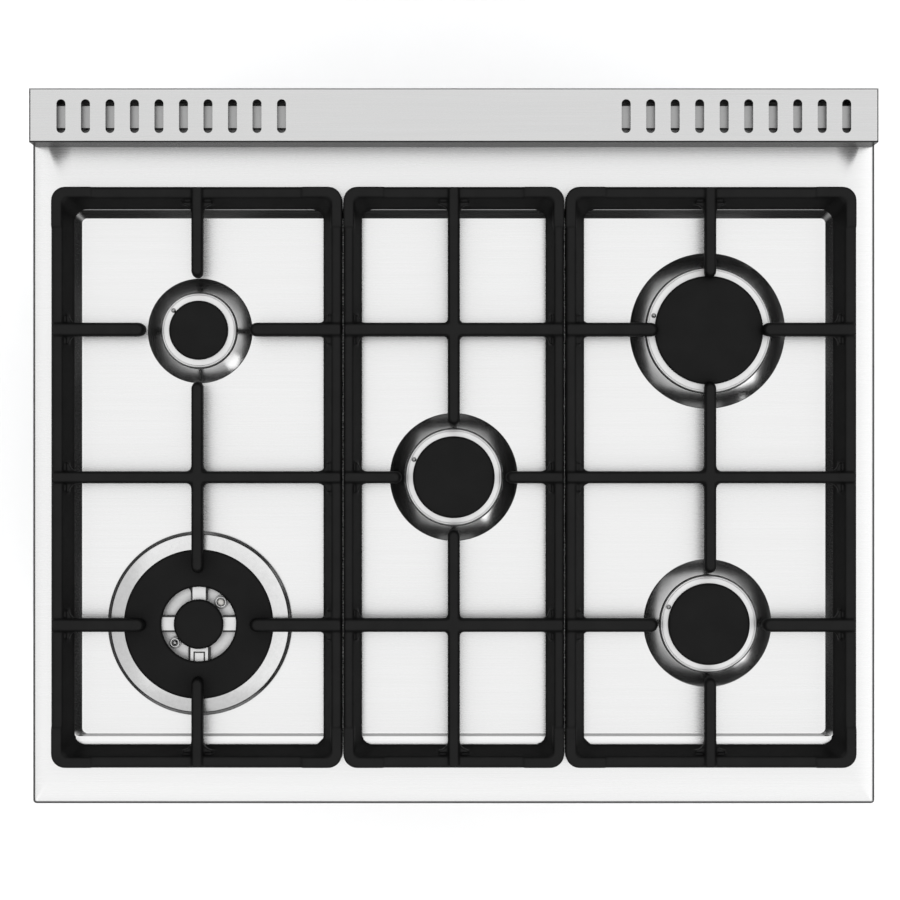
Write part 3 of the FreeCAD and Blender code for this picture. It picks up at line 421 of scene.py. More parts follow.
def soften(points, radius, steps=4, closed=True):
    """Round the corners of an outline of 2D points with short curves."""
    count = len(points)
    result = []
    for index, point in enumerate(points):
        here = Vector(point)
        if not closed and index in (0, count - 1):
            result.append(here)
            continue
        before, after = Vector(points[index - 1]), Vector(points[(index + 1) % count])
        to_before, to_after = before - here, after - here
        reach = min(radius, to_before.length * 0.45, to_after.length * 0.45)
        if reach < 1e-6:
            result.append(here)
            continue
        start = here + to_before.normalized() * reach
        end = here + to_after.normalized() * reach
        for step in range(steps + 1):
            part = step / steps
            result.append(start * (1 - part) ** 2 + here * 2 * part * (1 - part)
                          + end * part ** 2)
    return result


def lathe_into(shape, profile, centre, segments=128, flute=None, closed=True):
    """Turn a (radius, height) profile in metres about a vertical axis through centre.

    flute(angle, radius, height) may return a changed (radius, height).
    """
    rings = []
    for step in range(segments):
        angle = 2 * math.pi * step / segments
        ring = []
        for radius, height in profile:
            if flute:
                radius, height = flute(angle, radius, height)
            ring.append(shape.verts.new((centre[0] + radius * math.cos(angle),
                                         centre[1] + radius * math.sin(angle),
                                         centre[2] + height)))
        rings.append(ring)
    count = len(profile)
    for step in range(segments):
        here, following = rings[step], rings[(step + 1) % segments]
        for index in range(count if closed else count - 1):
            after = (index + 1) % count
            shape.faces.new((here[index], following[index], following[after], here[after]))
    if not closed:
        shape.faces.new([ring[0] for ring in rings])
        shape.faces.new([ring[-1] for ring in reversed(rings)])


def lathe(name, profile, centre, material, node, segments=128, radius=0.0006,
          flute=None, sharp=35, solid=False):
    """A turned piece; solid says that the profile runs from axis to axis."""
    outline = soften([(r * MM, z * MM) for r, z in profile], radius, 4, closed=not solid)
    shape = bmesh.new()
    lathe_into(shape, [(max(point[0], 1e-5), point[1]) for point in outline], centre,
               segments, flute, closed=not solid)
    return finish_piece(name, from_bmesh(name, shape), material, node, sharp)


def rounded_rectangle(x0, x1, y0, y1, radius, steps=6):
    """Corner-rounded rectangle as a list of points, counter-clockwise."""
    points = []
    for cx, cy, turn in ((x1 - radius, y1 - radius, 0), (x0 + radius, y1 - radius, 1),
                         (x0 + radius, y0 + radius, 2), (x1 - radius, y0 + radius, 3)):
        for step in range(steps + 1):
            angle = (turn + step / steps) * math.pi / 2
            points.append((cx + radius * math.cos(angle), cy + radius * math.sin(angle)))
    return points


def loft_into(shape, loops, cap_first=True, cap_last=True, closed=False):
    """Skin a list of 3D loops that have equal point counts."""
    rows = [[shape.verts.new(point) for point in loop] for loop in loops]
    count = len(rows[0])
    pairs = list(zip(rows[:-1], rows[1:]))
    if closed:
        pairs.append((rows[-1], rows[0]))
    for low, high in pairs:
        for index in range(count):
            after = (index + 1) % count
            shape.faces.new((low[index], low[after], high[after], high[index]))
    if cap_first and not closed:
        shape.faces.new(list(reversed(rows[0])))
    if cap_last and not closed:
        shape.faces.new(rows[-1])


def evaluated(piece):
    """A piece's mesh with its modifiers applied."""
    bpy.context.view_layer.update()
    graph = bpy.context.evaluated_depsgraph_get()
    return bpy.data.meshes.new_from_object(piece.evaluated_get(graph))


def melt(mesh, voxel, passes, keep):
    """Fuse overlapping closed shapes into one casting with softened edges."""
    piece = add_object("melting", mesh)
    remesh = piece.modifiers.new("remesh", "REMESH")
    remesh.mode = "VOXEL"
    remesh.voxel_size = voxel
    relax = piece.modifiers.new("relax", "SMOOTH")
    relax.iterations = passes
    relax.factor = 0.5
    thin = piece.modifiers.new("thin", "DECIMATE")
    thin.ratio = keep
    result = evaluated(piece)
    bpy.data.objects.remove(piece)
    return result


# ---------------------------------------------------------------- hob

SHEET = 1.9 * MM
WELL_HALF = 345 * MM
WELL_FRONT = 55 * MM - HALF_DEPTH
WELL_BACK = 538 * MM - HALF_DEPTH
LEDGE_DEPTH = 1.4           # how far the ledge at the front of the well falls, in millimetres
BURNER_HOLE = 17 * MM
WOK_HOLE = 34 * MM
FLUE_WIDTH = 690 * MM
CUT = 30 * MM               # height of the shapes that cut the sheet


def rect_level(inset, z, radius, half=HALF_WIDTH, front=-HALF_DEPTH, back=HALF_DEPTH,
               front_inset=None):
    """A rounded-rectangle loop at height z, shrunk by inset from a base rectangle."""
    if front_inset is None:
        front_inset = inset
    return [(x, y, z) for x, y in
            rounded_rectangle(inset - half, half - inset, front + front_inset, back - inset,
                              max(radius, 0.8 * MM), 10)]


def front_ledge(inset, drop):
    """Inset of the well's front wall: a shallow ledge, then a steep step to the floor."""
    depth = -drop / MM
    if depth < 0.05 or depth > 7.7:
        return inset
    if depth < LEDGE_DEPTH:
        return (0.6 + 4.2 * depth) * MM
    return (6.5 + (depth - LEDGE_DEPTH) * 0.22) * MM


def make_hob():
    """Pressed sheet: folded lip, rounded edge, flat border and a well with soft shoulders."""
    top, low = HOB_TOP, HOB_LOW.z
    edge = [(0.0008, low), (0, low + 0.0008), (0, top - 0.0029), (0.0003, top - 0.0020),
            (0.0009, top - 0.0012), (0.0018, top - 0.0005), (0.0028, top)]
    loops = [rect_level(inset, z, 0.0034 - inset * 0.6) for inset, z in edge]
    profile = soften([(-0.004, 0), (0, 0), (0.0075, -0.0073)], 0.0033, 6, closed=False)
    profile += [(0.0079, -0.0077), (0.0085, -0.00793), (0.0094, -WELL_DEPTH),
                (0.0145, -WELL_DEPTH)]
    for inset, drop in [(-0.008, 0)] + [tuple(point) for point in profile]:
        loops.append(rect_level(inset, top + drop, 0.0056 - inset * 0.06, WELL_HALF,
                                WELL_FRONT, WELL_BACK, front_ledge(inset, drop)))
    shape = bmesh.new()
    loft_into(shape, loops, cap_first=False)
    piece = add_object("hob_cutting", from_bmesh("hob_sheet", shape))
    thick = piece.modifiers.new("thick", "SOLIDIFY")
    thick.thickness = SHEET
    thick.offset = -1
    holes = bmesh.new()
    for name in ("aux", "centre", "right_front", "right_back", "wok_inner"):
        centre = middle(f"cap_{name}")
        radius = WOK_HOLE if name == "wok_inner" else BURNER_HOLE
        bmesh.ops.create_cone(holes, cap_ends=True, segments=64, radius1=radius,
                              radius2=radius, depth=CUT,
                              matrix=translation(centre.x, centre.y, WELL_FLOOR))
    trim_low, trim_high = corners("vent_trim")
    flue_front, flue_back = trim_low.y + 6 * MM, trim_high.y - 18 * MM
    bmesh.ops.create_cube(holes, size=1.0, matrix=translation(
        0, (flue_front + flue_back) / 2, HOB_TOP)
        @ scaling(FLUE_WIDTH, flue_back - flue_front, CUT))
    cutter = add_object("hob_holes", from_bmesh("hob_holes", holes))
    opening = piece.modifiers.new("holes", "BOOLEAN")
    opening.operation = "DIFFERENCE"
    opening.solver = "EXACT"
    opening.object = cutter
    result = evaluated(piece)
    bpy.data.objects.remove(piece)
    bpy.data.objects.remove(cutter)
    hob = finish_piece("hob_sheet", result, STEEL_HOB, "hob_top", 40)
    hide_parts("hob_top")


# ---------------------------------------------------------------- grates

FINGER_REACH = 46 * MM
BAR_HALF = 5.0 * MM
SLIM = 0.885                # width of the lengthwise and middle bars against the others
RIM = 20 * MM               # how far the frame's inner wall reaches in at its foot
RIM_BESIDE = 17.9 * MM      # the same on a side grate, where it meets the centre grate
RIM_CENTRE = 16.9 * MM      # the same on both sides of the centre grate
RIM_SHARE = 0.8             # where the gussets start on the inner wall


def row_width(row):
    """Relative width of the cross bar at y = row."""
    return SLIM if abs(row - middle("cap_centre").y) < 0.02 else 1.02


def bar_into(shape, start, end, tip_start=False, tip_end=False, width=1.0):
    """One tapered bar with a crowned top, from start to end (x, y); tips are rounded."""
    start, end = Vector(start), Vector(end)
    along = (end - start).normalized()
    across = Vector((-along.y, along.x))
    top = GRATE_HIGH.z
    # height below the top, half width, how far a free tip is pulled back
    levels = [(0.018, 5.6, 0.0), (0.010, 6.2, 0.6), (0.0042, 5.9, 1.3), (0.0018, 5.3, 2.3),
              (0.0005, 4.3, 3.4), (0.0, 3.0, 5.0)]
    loops = []
    for drop, half, pull in levels:
        half *= MM * width
        first = start + along * (pull * MM if tip_start else 0)
        last = end - along * (pull * MM if tip_end else 0)
        loop = []
        steps = 8
        for step in range(steps + 1):
            angle = -math.pi / 2 + math.pi * step / steps
            bulge = half * math.cos(angle) if tip_end else 0
            point = last - along * (half if tip_end else 0) + along * bulge
            point = point + across * half * math.sin(angle)
            loop.append((point.x, point.y, top - drop))
        for step in range(steps + 1):
            angle = math.pi / 2 - math.pi * step / steps
            bulge = half * math.cos(angle) if tip_start else 0
            point = first + along * (half if tip_start else 0) - along * bulge
            point = point + across * half * math.sin(angle)
            loop.append((point.x, point.y, top - drop))
        loops.append(loop)
    loft_into(shape, loops)


def rim_into(shape, low, high, rim_left, rim_right, rim_end):
    """The grate's frame: straight outer wall, flat top and a steep inner wall."""
    base, top = HOB_TOP + 10 * MM, HOB_TOP + 34.5 * MM
    outer = [(0.0, base), (0.0, top - 0.004), (0.0008, top - 0.0014), (0.0026, top)]
    inner = [(0.44, top), (0.52, top - 0.0012), (0.57, top - 0.004), (0.88, base + 0.003),
             (0.95, base + 0.0008), (1.0, base)]
    loops = []
    for inset, z in outer:
        loops.append([(x, y, z) for x, y in rounded_rectangle(
            low.x + inset, high.x - inset, low.y + inset, high.y - inset,
            0.0125 - inset, 8)])
    for share, z in inner:
        loops.append([(x, y, z) for x, y in rounded_rectangle(
            low.x + rim_left * share, high.x - rim_right * share,
            low.y + rim_end * share, high.y - rim_end * share, 0.009, 8)])
    loft_into(shape, loops, closed=True)


def foot_into(shape, corner, x_side, y_side):
    """An L-shaped foot in one corner, from the hob to just above the frame."""
    # height, inset of the outer walls, width of the arms, inset of the arms' ends
    levels = [(0.1, 2.0, 13.0, 1.5), (2.0, 1.0, 13.5, 0.8), (12.0, 0.2, 12.0, 0.4),
              (34.0, 0.0, 9.8, 0.0), (35.6, 0.3, 9.4, 0.5), (36.2, 1.2, 8.6, 1.4)]
    length, turn = 36.5, 12.5
    loops = []
    for height, out, width, end in levels:
        points = []
        for step in range(9):
            angle = math.pi + math.pi / 2 * step / 8
            points.append((turn + (turn - out) * math.cos(angle),
                           turn + (turn - out) * math.sin(angle)))
        points += [(length - end, out), (length - end, width), (width + 3, width),
                   (width, width + 3), (width, length - end), (out, length - end)]
        loop = [(corner[0] + x_side * u * MM, corner[1] + y_side * v * MM,
                 HOB_TOP + height * MM) for u, v in points]
        loops.append(loop if x_side * y_side > 0 else list(reversed(loop)))
    loft_into(shape, loops)


def gusset_into(shape, x, y, x_side, y_side, radius):
    """A concave fillet in the corner between two members."""
    points = [(-0.002, -0.002), (radius, -0.002), (radius, 0)]
    for step in range(1, 8):
        angle = -math.pi / 2 - math.pi / 2 * step / 8
        points.append((radius + radius * math.cos(angle), radius + radius * math.sin(angle)))
    points += [(0, radius), (-0.002, radius)]
    loops = []
    for drop in (0.018, 0.0045):
        loop = [(x + x_side * u, y + y_side * v, GRATE_HIGH.z - drop) for u, v in points]
        loops.append(loop if x_side * y_side > 0 else list(reversed(loop)))
    loft_into(shape, loops)


def make_grate(node, burner_nodes, full_rows):
    """One casting: frame, feet, cross bars and the fingers around its burners."""
    low, high = corners(node)
    shape = bmesh.new()
    inner_rim = RIM_CENTRE if node == "grate_centre" else RIM_BESIDE
    left_rim = RIM if node == "grate_left" else inner_rim
    right_rim = RIM if node == "grate_right" else inner_rim
    rim_into(shape, low, high, left_rim, right_rim, RIM)
    for x, side_x in ((low.x, 1), (high.x, -1)):
        for y, side_y in ((low.y, 1), (high.y, -1)):
            foot_into(shape, (x, y), side_x, side_y)
    inset = 1.0 * MM
    centres = sorted((middle(name) for name in burner_nodes), key=lambda point: point.y)
    x = centres[0].x
    for row in full_rows:
        bar_into(shape, (low.x + inset, row), (high.x - inset, row), width=row_width(row))
    for centre in centres:
        for edge, side in ((low.x + inset, -1), (high.x - inset, 1)):
            bar_into(shape, (edge, centre.y), (x + side * FINGER_REACH, centre.y),
                     tip_end=True, width=row_width(centre.y))
    bar_into(shape, (x, low.y + inset), (x, centres[0].y - FINGER_REACH), tip_end=True,
             width=SLIM)
    bar_into(shape, (x, high.y - inset), (x, centres[-1].y + FINGER_REACH), tip_end=True,
             width=SLIM)
    for near, far in zip(centres[:-1], centres[1:]):
        bar_into(shape, (x, near.y + FINGER_REACH), (x, far.y - FINGER_REACH),
                 tip_start=True, tip_end=True, width=SLIM)
    half = BAR_HALF + 0.3 * MM
    left, right = low.x + left_rim * RIM_SHARE, high.x - right_rim * RIM_SHARE
    front, back = low.y + RIM * RIM_SHARE, high.y - RIM * RIM_SHARE
    for row in full_rows + [centre.y for centre in centres]:
        for side in (-1, 1):
            gusset_into(shape, left, row + side * half, 1, side, 8 * MM)
            gusset_into(shape, right, row + side * half, -1, side, 8 * MM)
    for side in (-1, 1):
        gusset_into(shape, x + side * half, front, side, 1, 8 * MM)
        gusset_into(shape, x + side * half, back, side, -1, 8 * MM)
        for row in full_rows:
            for end in (-1, 1):
                gusset_into(shape, x + side * half, row + end * half, side, end, 5 * MM)
    mesh = melt(from_bmesh(node, shape), 0.0012, 3, 0.36)
    piece = finish_piece(f"{node}_casting", mesh, IRON, node, 60)
    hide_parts(node)


def make_grates():
    front, back = middle("cap_right_front").y, middle("cap_right_back").y
    centre = middle("cap_centre").y
    make_grate("grate_left", ["cap_wok_inner", "cap_aux"], [centre])
    make_grate("grate_right", ["cap_right_front", "cap_right_back"], [centre])
    make_grate("grate_centre", ["cap_centre"], [front, back])


# ---------------------------------------------------------------- burners

# trim ring, head and cap diameters in millimetres, number of ports, electrode direction
BURNERS = {"aux": (95, 68, 53.5, 18, 142), "centre": (116, 87.5, 74, 24, 156),
           "right_front": (116, 87.5, 74, 24, 157), "right_back": (141, 113, 98, 30, 165)}


def ports(count, outer, width_share, depth, from_z, to_z):
    """A flute that cuts flame ports into a head's rim."""
    def flute(angle, radius, height):
        phase = (angle * count / (2 * math.pi)) % 1.0
        deep = 1.0 if phase < width_share else 0.0
        if radius > outer * 0.96 and from_z < height < to_z:
            radius -= depth * deep
        return radius, height
    return flute


def make_standard_burner(name):
    """Polished ring, cast head with flame ports, and a black cap."""
    ring, head, cap, count, _ = BURNERS[name]
    centre = middle(f"cap_{name}")
    base = (centre.x, centre.y, WELL_FLOOR)
    ring_radius, head_radius, cap_radius = ring / 2, head / 2, cap / 2
    lip = 0.9 + 0.77 * (ring_radius - head_radius - 1.6)
    rings = lathe(f"burner_ring_{name}",
                  [(head_radius - 6, 0.1), (ring_radius, 0.1), (ring_radius, 0.4),
                   (ring_radius - 0.6, 0.9), (head_radius + 0.8, lip),
                   (head_radius + 0.7, 3.0), (head_radius - 6, 3.0)],
                  base, RING_METAL, "burner_rings", 160, 0.0001)
    flute = ports(count, head_radius * MM, 0.3, 0.0028, 11.5 * MM, 15.2 * MM)
    body = lathe(f"head_{name}_casting",
                 [(6, 0.5), (16, 0.5), (16, 3.2), (head_radius - 3, 3.2), (head_radius, 6.5),
                  (head_radius, 15.6), (head_radius - 0.8, 16.8), (head_radius - 1.5, 17.0),
                  (head_radius - 1.9, 16.6), (head_radius - 2.4, 17.1),
                  (cap_radius - 4, 18.0), (cap_radius - 5, 9.0), (6, 9.0)],
                 base, ALUMINIUM, f"head_{name}", count * 12, 0.0004, flute)
    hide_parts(f"head_{name}")
    top = (corners(f"cap_{name}")[1].z - WELL_FLOOR) / MM
    crown = lathe(f"cap_{name}_enamelled",
                  [(0, 18.05), (cap_radius - 2.4, 18.05), (cap_radius - 0.3, 19.0),
                   (cap_radius, 20.4), (cap_radius - 0.2, 22.0), (cap_radius - 1.6, 23.4),
                   (cap_radius - 5.0, top), (0, top)],
                  base, ENAMEL, f"cap_{name}", 144, 0.0015, solid=True)
    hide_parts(f"cap_{name}")
    return rings


def bridge_into(shape, base, angle, half_width, near, far, top):
    """A radial web between the wok burner's crown and its ring channel."""
    half = half_width * MM
    outline = soften([(near, -half), (far, -half), (far, half), (near, half)], 0.001, 3)
    loops = []
    for z, inset in ((2.4, 0.0), (top - 0.8, 0.0), (top, 0.5)):
        loop = []
        for u, v in outline:
            v *= 1 - inset * MM / half
            x = u * math.cos(angle) - v * math.sin(angle)
            y = u * math.sin(angle) + v * math.cos(angle)
            loop.append((base[0] + x, base[1] + y, base[2] + z * MM))
        loops.append(loop)
    loft_into(shape, loops)


def strip_into(shape, base, angle, offset, half, near, far, top):
    """A narrow dark strip, painted shade for a radial slot beside or on a bridge."""
    loops = []
    for z in (2.4, top):
        loop = []
        for u, v in ((near, offset - half), (far, offset - half), (far, offset + half),
                     (near, offset + half)):
            loop.append((base[0] + (u * math.cos(angle) - v * math.sin(angle)) * MM,
                         base[1] + (u * math.sin(angle) + v * math.cos(angle)) * MM,
                         base[2] + z * MM))
        loops.append(loop)
    loft_into(shape, loops)


def flare_into(shape, base, side):
    """Painted shade: the curved dark line where the rear bridge widens into the ring channel.
    """
    inner, outer = [], []
    for step in range(9):
        angle = math.pi / 2 * step / 8
        reach = Vector((6.9 + 6.0 * (1 - math.cos(angle)), 27.5 + 6.0 * math.sin(angle)))
        away = Vector((math.cos(angle), -math.sin(angle))) * 0.45
        inner.append(reach - away)
        outer.append(reach + away)
    outline = inner + list(reversed(outer))
    loft_into(shape, [[(base[0] + side * point.x * MM, base[1] + point.y * MM,
                        base[2] + z * MM) for point in outline] for z in (5.0, 14.7)])


def make_wok_burner():
    """The twin-ring burner: dish, ring channel, bridges, crown, ring cap and centre cap."""
    centre = middle("cap_wok_inner")
    base = (centre.x, centre.y, WELL_FLOOR)
    dish = lathe("wok_dish",
                 [(36, 0.2), (83.5, 0.2), (83.5, 3.6), (81.0, 6.3), (80.3, 6.8), (65.8, 11.5),
                  (64.6, 11.3), (64.5, 7.6), (58.9, 2.1), (36, 2.1)],
                 base, DISH_METAL, "dish_wok", 192, 0.0006)
    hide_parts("dish_wok")

    outer = 63.5
    flute = ports(40, outer * MM, 0.3, 0.003, 9 * MM, 15.2 * MM)
    shape = bmesh.new()
    channel = soften([(r * MM, z * MM) for r, z in
                      [(35.5, 2.1), (outer - 6, 2.1), (outer, 8), (outer, 16.5),
                       (outer - 1.5, 17.9), (outer - 8, 17.9), (outer - 9, 8), (44.5, 8),
                       (43.5, 17.9), (36.2, 17.9), (35.5, 17)]], 0.0006)
    lathe_into(shape, [tuple(point) for point in channel], base, 480, flute)
    crown = soften([(r * MM, z * MM) for r, z in
                    [(5, -9), (14, -9), (20.5, 0), (20.5, 17.5), (19.5, 18.9), (15.5, 18.9),
                     (14.5, 6), (5, 6)]], 0.0006)
    lathe_into(shape, [tuple(point) for point in crown], base, 96)
    floor = soften([(r * MM, z * MM) for r, z in
                    [(19, 2.4), (37, 2.4), (37, 5.0), (19, 5.0)]], 0.0004)
    lathe_into(shape, [tuple(point) for point in floor], base, 120)
    for turn in range(4):
        bridge_into(shape, base, turn * math.pi / 2, 6.4 if turn != 3 else 8.4,
                    20 * MM, 37.5 * MM, 14.5 if turn != 3 else 13.0)
    # dark strips: painted shade for the slots beside the bridges, the flare at the rear bridge
    # and the U on the front one
    slot_shade_strips = bmesh.new()
    for turn in range(4):
        half = 9.3 if turn == 3 else 6.9
        for side in (-1, 1):
            strip_into(slot_shade_strips, base, turn * math.pi / 2, side * half, 0.6, 21.5, 35.2,
                       13.2 if turn == 3 else 14.7)
    for side in (-1, 1):
        strip_into(slot_shade_strips, base, 1.5 * math.pi, side * 4.6, 0.65, 26.0, 34.5, 13.5)
        flare_into(slot_shade_strips, base, side)
    strip_into(slot_shade_strips, base, 1.5 * math.pi, 0.0, 5.2, 25.2, 26.4, 13.5)
    finish_piece("head_wok_slot_shade", from_bmesh("head_wok_slot_shade", slot_shade_strips), SLOT_SHADE, "head_wok",
                 30)
    head = finish_piece("head_wok_casting", from_bmesh("head_wok_casting", shape), ALUMINIUM,
                        "head_wok", 40)
    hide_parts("head_wok")

    ring = lathe("cap_wok_outer_enamelled",
                 [(33.5, 18.6), (35.5, 18.05), (64.5, 18.05), (67.2, 19.2), (67.5, 20.6),
                  (67.2, 22.0), (65.4, 23.4), (61, 23.95), (38, 23.95), (35.2, 23.4),
                  (33.7, 21.8)],
                 base, ENAMEL, "cap_wok_outer", 192, 0.0014)
    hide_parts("cap_wok_outer")
    button = lathe("cap_wok_inner_enamelled",
                   [(0, 19.05), (20.4, 19.05), (22.3, 19.9), (22.5, 21.2), (22.2, 22.6),
                    (20.8, 24.2), (17, 24.95), (0, 24.95)],
                   base, ENAMEL, "cap_wok_inner", 112, 0.0014, solid=True)
    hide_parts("cap_wok_inner")


def make_pins():
    """Spark electrodes with ceramic sleeves, and the wok burner's flame sensor."""
    for name, (_, _, cap, _, turn) in BURNERS.items():
        centre = middle(f"cap_{name}")
        reach = (cap / 2 + 2.3) * MM
        angle = math.radians(turn)
        x, y = centre.x + reach * math.cos(angle), centre.y + reach * math.sin(angle)
        # the wide dark foot of each tip is painted shade for the electrode's hole in the head
        lathe(f"spark_tip_{name}",
                            [(0, 12), (2.2, 12), (2.2, 17.8), (1.2, 18.2), (1.2, 20.6),
                             (0, 21.0)],
                            (x, y, WELL_FLOOR), PIN_STEEL, "spark_and_sensor_pins",
                            32, 0.0003, solid=True)
    centre = middle("cap_wok_inner")
    for name, angle, body, core in (("spark", 45, 5.3, CERAMIC),
                                    ("flame_sensor", 218, 4.5, PIN_STEEL)):
        turn = math.radians(angle)
        reach = 27.8 * MM
        place = (centre.x + reach * math.cos(turn), centre.y + reach * math.sin(turn),
                 WELL_FLOOR)
        lathe(f"wok_{name}_seat",
                            [(0, 3), (body + 1.0, 3), (body + 1.0, 9.5), (0, 9.5)],
                            place, PIN_STEEL, "spark_and_sensor_pins", 48,
                            0.0003, solid=True)
        lathe(f"wok_{name}_sleeve",
                            [(body - 1.3, 8), (body, 8), (body, 14), (body - 0.4, 14.6),
                             (body - 1.3, 14.6)],
                            place, ALUMINIUM, "spark_and_sensor_pins", 48,
                            0.0003)
        lathe(f"wok_{name}_core",
                            [(0, 8), (body - 2.3, 8), (body - 2.3, 15.4), (body - 3.1, 16.4),
                             (0, 16.8)],
                            place, core, "spark_and_sensor_pins", 40, 0.0004,
                            solid=True)
    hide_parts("spark_and_sensor_pins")


def make_burners():
    rings = [make_standard_burner(name) for name in BURNERS]
    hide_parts("burner_rings")
    make_wok_burner()
    make_pins()


# ---------------------------------------------------------------- knobs

def face_front(shape, x, back, z):
    """Turn a shape made about the Z axis so that it points to -Y from y = back."""
    for vertex in shape.verts:
        across, up, out = vertex.co
        vertex.co = (x + across, back - out, z + up)


def make_knob(node):
    """A turned knob with a dished face, a ribbed grip and a pointer line."""
    low, high = corners(node)
    axis_x, axis_z = (low.x + high.x) / 2, (low.z + high.z) / 2
    back = high.y
    skirt = (high.x - low.x) / 2 / MM
    length = (high.y - low.y) / MM
    grip = skirt - 6

    def ribs(angle, radius, height):
        if 0.008 < height < (length - 4) * MM and radius > (grip - 1.5) * MM:
            radius -= 0.00035 * (0.5 - 0.5 * math.cos(angle * 48))
        return radius, height

    profile = soften([(r * MM, z * MM) for r, z in
                      [(4.2, 0.4), (skirt - 1, 0.2), (skirt, 1.2), (skirt, 3.6),
                       (skirt - 1.4, 5.4), (grip + 0.8, 6.6), (grip, 8.5),
                       (grip - 0.4, length - 2.6), (grip - 2.2, length - 0.2),
                       (grip - 4.0, length - 0.1), (grip - 5.2, length - 1.0),
                       (1.0, length - 1.3), (0.01, length - 1.3)]], 0.0009, 4, closed=False)
    shape = bmesh.new()
    lathe_into(shape, [tuple(point) for point in profile], (0, 0, 0), 288, ribs, closed=False)
    face_front(shape, axis_x, back, axis_z)
    knob = finish_piece(f"{node}_turned", from_bmesh(node, shape), KNOB_METAL, node,
                        35)
    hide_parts(node)
    mark = bmesh.new()
    loft_into(mark, [[(x * MM, y * MM, z * MM) for x, y in
                      rounded_rectangle(-0.7, 0.7, grip - 9, grip - 1.2, 0.6, 3)]
                     for z in (length - 3, length - 0.05)])
    face_front(mark, axis_x, back, axis_z)
    finish_piece(f"{node}_pointer", from_bmesh(f"{node}_pointer", mark), INLET, node,
                 35)


def make_knobs():
    for node in sorted(NODES):
        if node.startswith("knob_") and node != "knob_bezels":
            make_knob(node)


# ---------------------------------------------------------------- carried-over nodes

CARRIED = {
    STEEL: ["control_panel", "door_outer_panel", "drawer_front", "door_handle"],
    STEEL_TRIM: ["vent_trim"],
    STEEL_SATIN: ["knob_bezels"],
    STEEL_RAW: ["vent_deflector"],
    BODY_PAINT: ["side_panel_left", "side_panel_right"],
    ZINC: ["back_panel", "base_frame", "front_frame", "drawer_runners", "drawer_box",
           "levelling_feet", "door_hinge_arms"],
    OVEN: ["oven_cavity", "oven_floor_plate", "door_inner_panel"],
    PIPE: ["oven_burner", "broil_burner", "gas_manifold"],
    CHROME: ["oven_rack_lower", "oven_rack_upper", "rack_guides"],
    GLASS: ["door_outer_glass", "door_inner_glass"],
    FIBRE: ["door_gasket"],
    BRASS: ["gas_valves"] + [name for name in sorted(NODES) if name.startswith("valve_stem")],
    ALUMINIUM_DARK: ["burner_cups"],
    INLET: ["power_inlet"],
}
BEVELLED = {"control_panel": 1.0, "door_outer_panel": 0.7, "drawer_front": 0.7,
            "side_panel_left": 0.5, "side_panel_right": 0.5, "back_panel": 0.5,
            "base_frame": 1.0, "power_inlet": 0.8}


def dress_nodes():
    """Give every carried-over CAD node its material, and break the edges of plain sheet."""
    for material, names in CARRIED.items():
        for name in names:
            item = NODES[name]
            item.data.materials.clear()
            item.data.materials.append(material)
            if name in BEVELLED:
                bevel = item.modifiers.new("edge", "BEVEL")
                bevel.width = BEVELLED[name] * MM
                bevel.segments = 3
                bevel.limit_method = "ANGLE"
                bevel.angle_limit = math.radians(50)
                bevel.harden_normals = False


# ---------------------------------------------------------------- stage

CAMERA_DISTANCE = 3.4
FIELD_WIDTH = 0.8145        # what the camera takes in across the hob
CAMERA_X, CAMERA_Y = -3.4 * MM, -1.0 * MM

# name, place, aim, width, height, power
LAMPS = [("overhead", (0.5, 0.4, 6.0), (0.5, 0.4, 0), 8.0, 8.0, 190),
         ("key_side", (2.9, -2.9, 2.25), (0, 0, 0.9), 1.6, 1.0, 15),
         ("front_fill", (0.2, -4.6, 2.3), (0, 0, 0.8), 2.6, 1.0, 2.4),
         ("back_fill", (-0.3, 4.6, 2.3), (0, 0, 0.8), 3.0, 1.0, 2.4),
         ("right_fill", (4.6, 0.3, 2.3), (0, 0, 0.8), 1.2, 0.9, 0.9)]
# height on the world's sphere, and brightness
SKY = [(0.0, 0.035), (0.32, 0.035), (0.47, 0.78), (0.78, 0.78), (0.93, 0.40), (1.0, 0.40)]


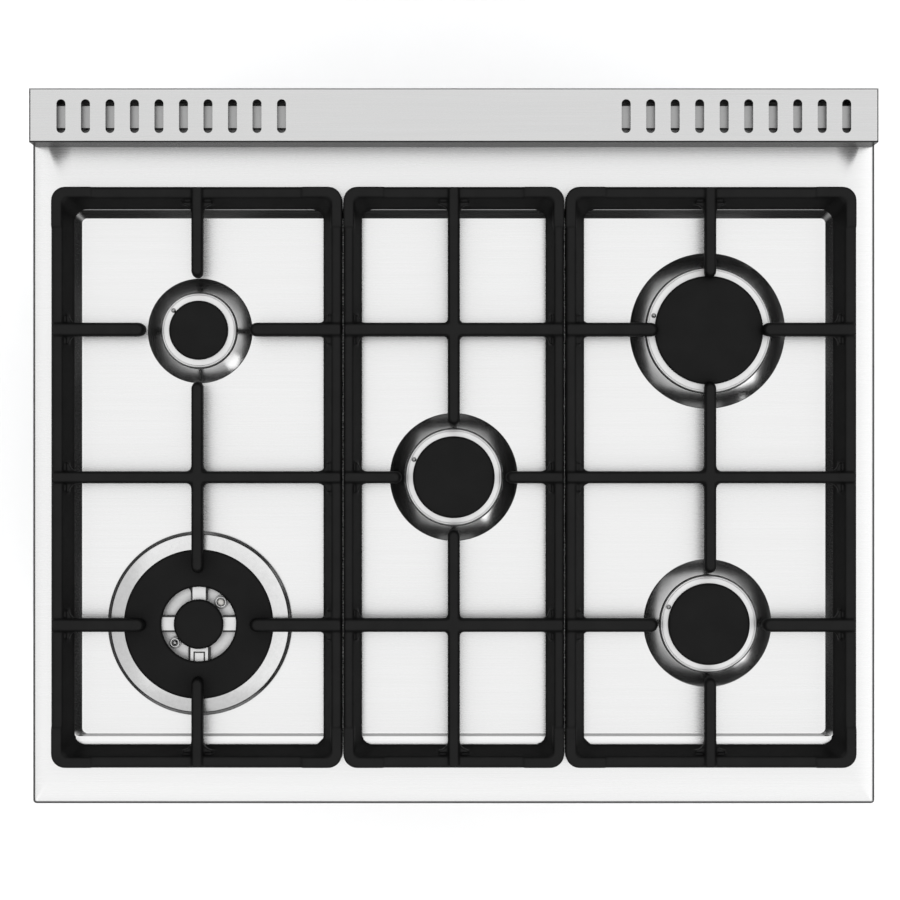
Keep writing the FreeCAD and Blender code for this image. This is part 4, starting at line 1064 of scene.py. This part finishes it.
def make_stage():
    """Pale floor, a wide overhead softbox, weak fills and the straight-down camera."""
    shape = bmesh.new()
    bmesh.ops.create_grid(shape, x_segments=1, y_segments=1, size=12)
    mesh = from_bmesh("floor", shape)
    floor = add_object("floor", mesh)
    mesh.materials.append(painted("floor_paint", grey(0.93), 0.8, 30, 0.00002, 0.005))

    world = bpy.data.worlds.new("studio")
    bpy.context.scene.world = world
    world.use_nodes = True
    light_studio(world.node_tree)

    for lamp in LAMPS:
        add_light(*lamp)

    camera = bpy.data.cameras.new("camera")
    camera.sensor_width = 36
    camera.lens = camera.sensor_width * CAMERA_DISTANCE / FIELD_WIDTH
    camera.clip_end = 50
    holder = add_object("camera", camera)
    holder.location = (CAMERA_X, CAMERA_Y, HOB_TOP + CAMERA_DISTANCE)
    bpy.context.scene.camera = holder
    bpy.context.scene.view_settings.view_transform = "Standard"


def light_studio(tree):
    """A dim horizon that rises to a soft bright ceiling; the camera sees a pale wall."""
    new, link = tree.nodes.new, tree.links.new
    split = new("ShaderNodeSeparateXYZ")
    link(new("ShaderNodeTexCoord").outputs["Generated"], split.inputs["Vector"])
    ramp = new("ShaderNodeValToRGB")
    set_stops(ramp, [(height, grey(level)) for height, level in SKY])
    link(split.outputs["Z"], ramp.inputs["Fac"])
    double = new("ShaderNodeMath")
    double.operation = "MULTIPLY"
    double.inputs[1].default_value = 2.0
    link(ramp.outputs["Color"], double.inputs[0])
    seen = new("ShaderNodeMix")
    seen.data_type = "FLOAT"
    link(new("ShaderNodeLightPath").outputs["Is Camera Ray"], seen.inputs["Factor"])
    link(double.outputs["Value"], seen.inputs["A"])
    seen.inputs["B"].default_value = 0.86
    link(seen.outputs["Result"], tree.nodes["Background"].inputs["Strength"])
    tree.nodes["Background"].inputs["Color"].default_value = (1, 1, 1, 1)


def add_light(name, place, target, width, height, power):
    """A soft rectangular lamp aimed at a point."""
    lamp = bpy.data.lights.new(name, "AREA")
    lamp.shape = "RECTANGLE"
    lamp.size = width
    lamp.size_y = height
    lamp.energy = power
    holder = add_object(name, lamp)
    holder.location = place
    aim = Vector(target) - Vector(place)
    holder.rotation_euler = aim.to_track_quat("-Z", "Y").to_euler()


make_hob()
make_grates()
make_burners()
make_knobs()
dress_nodes()
make_stage()
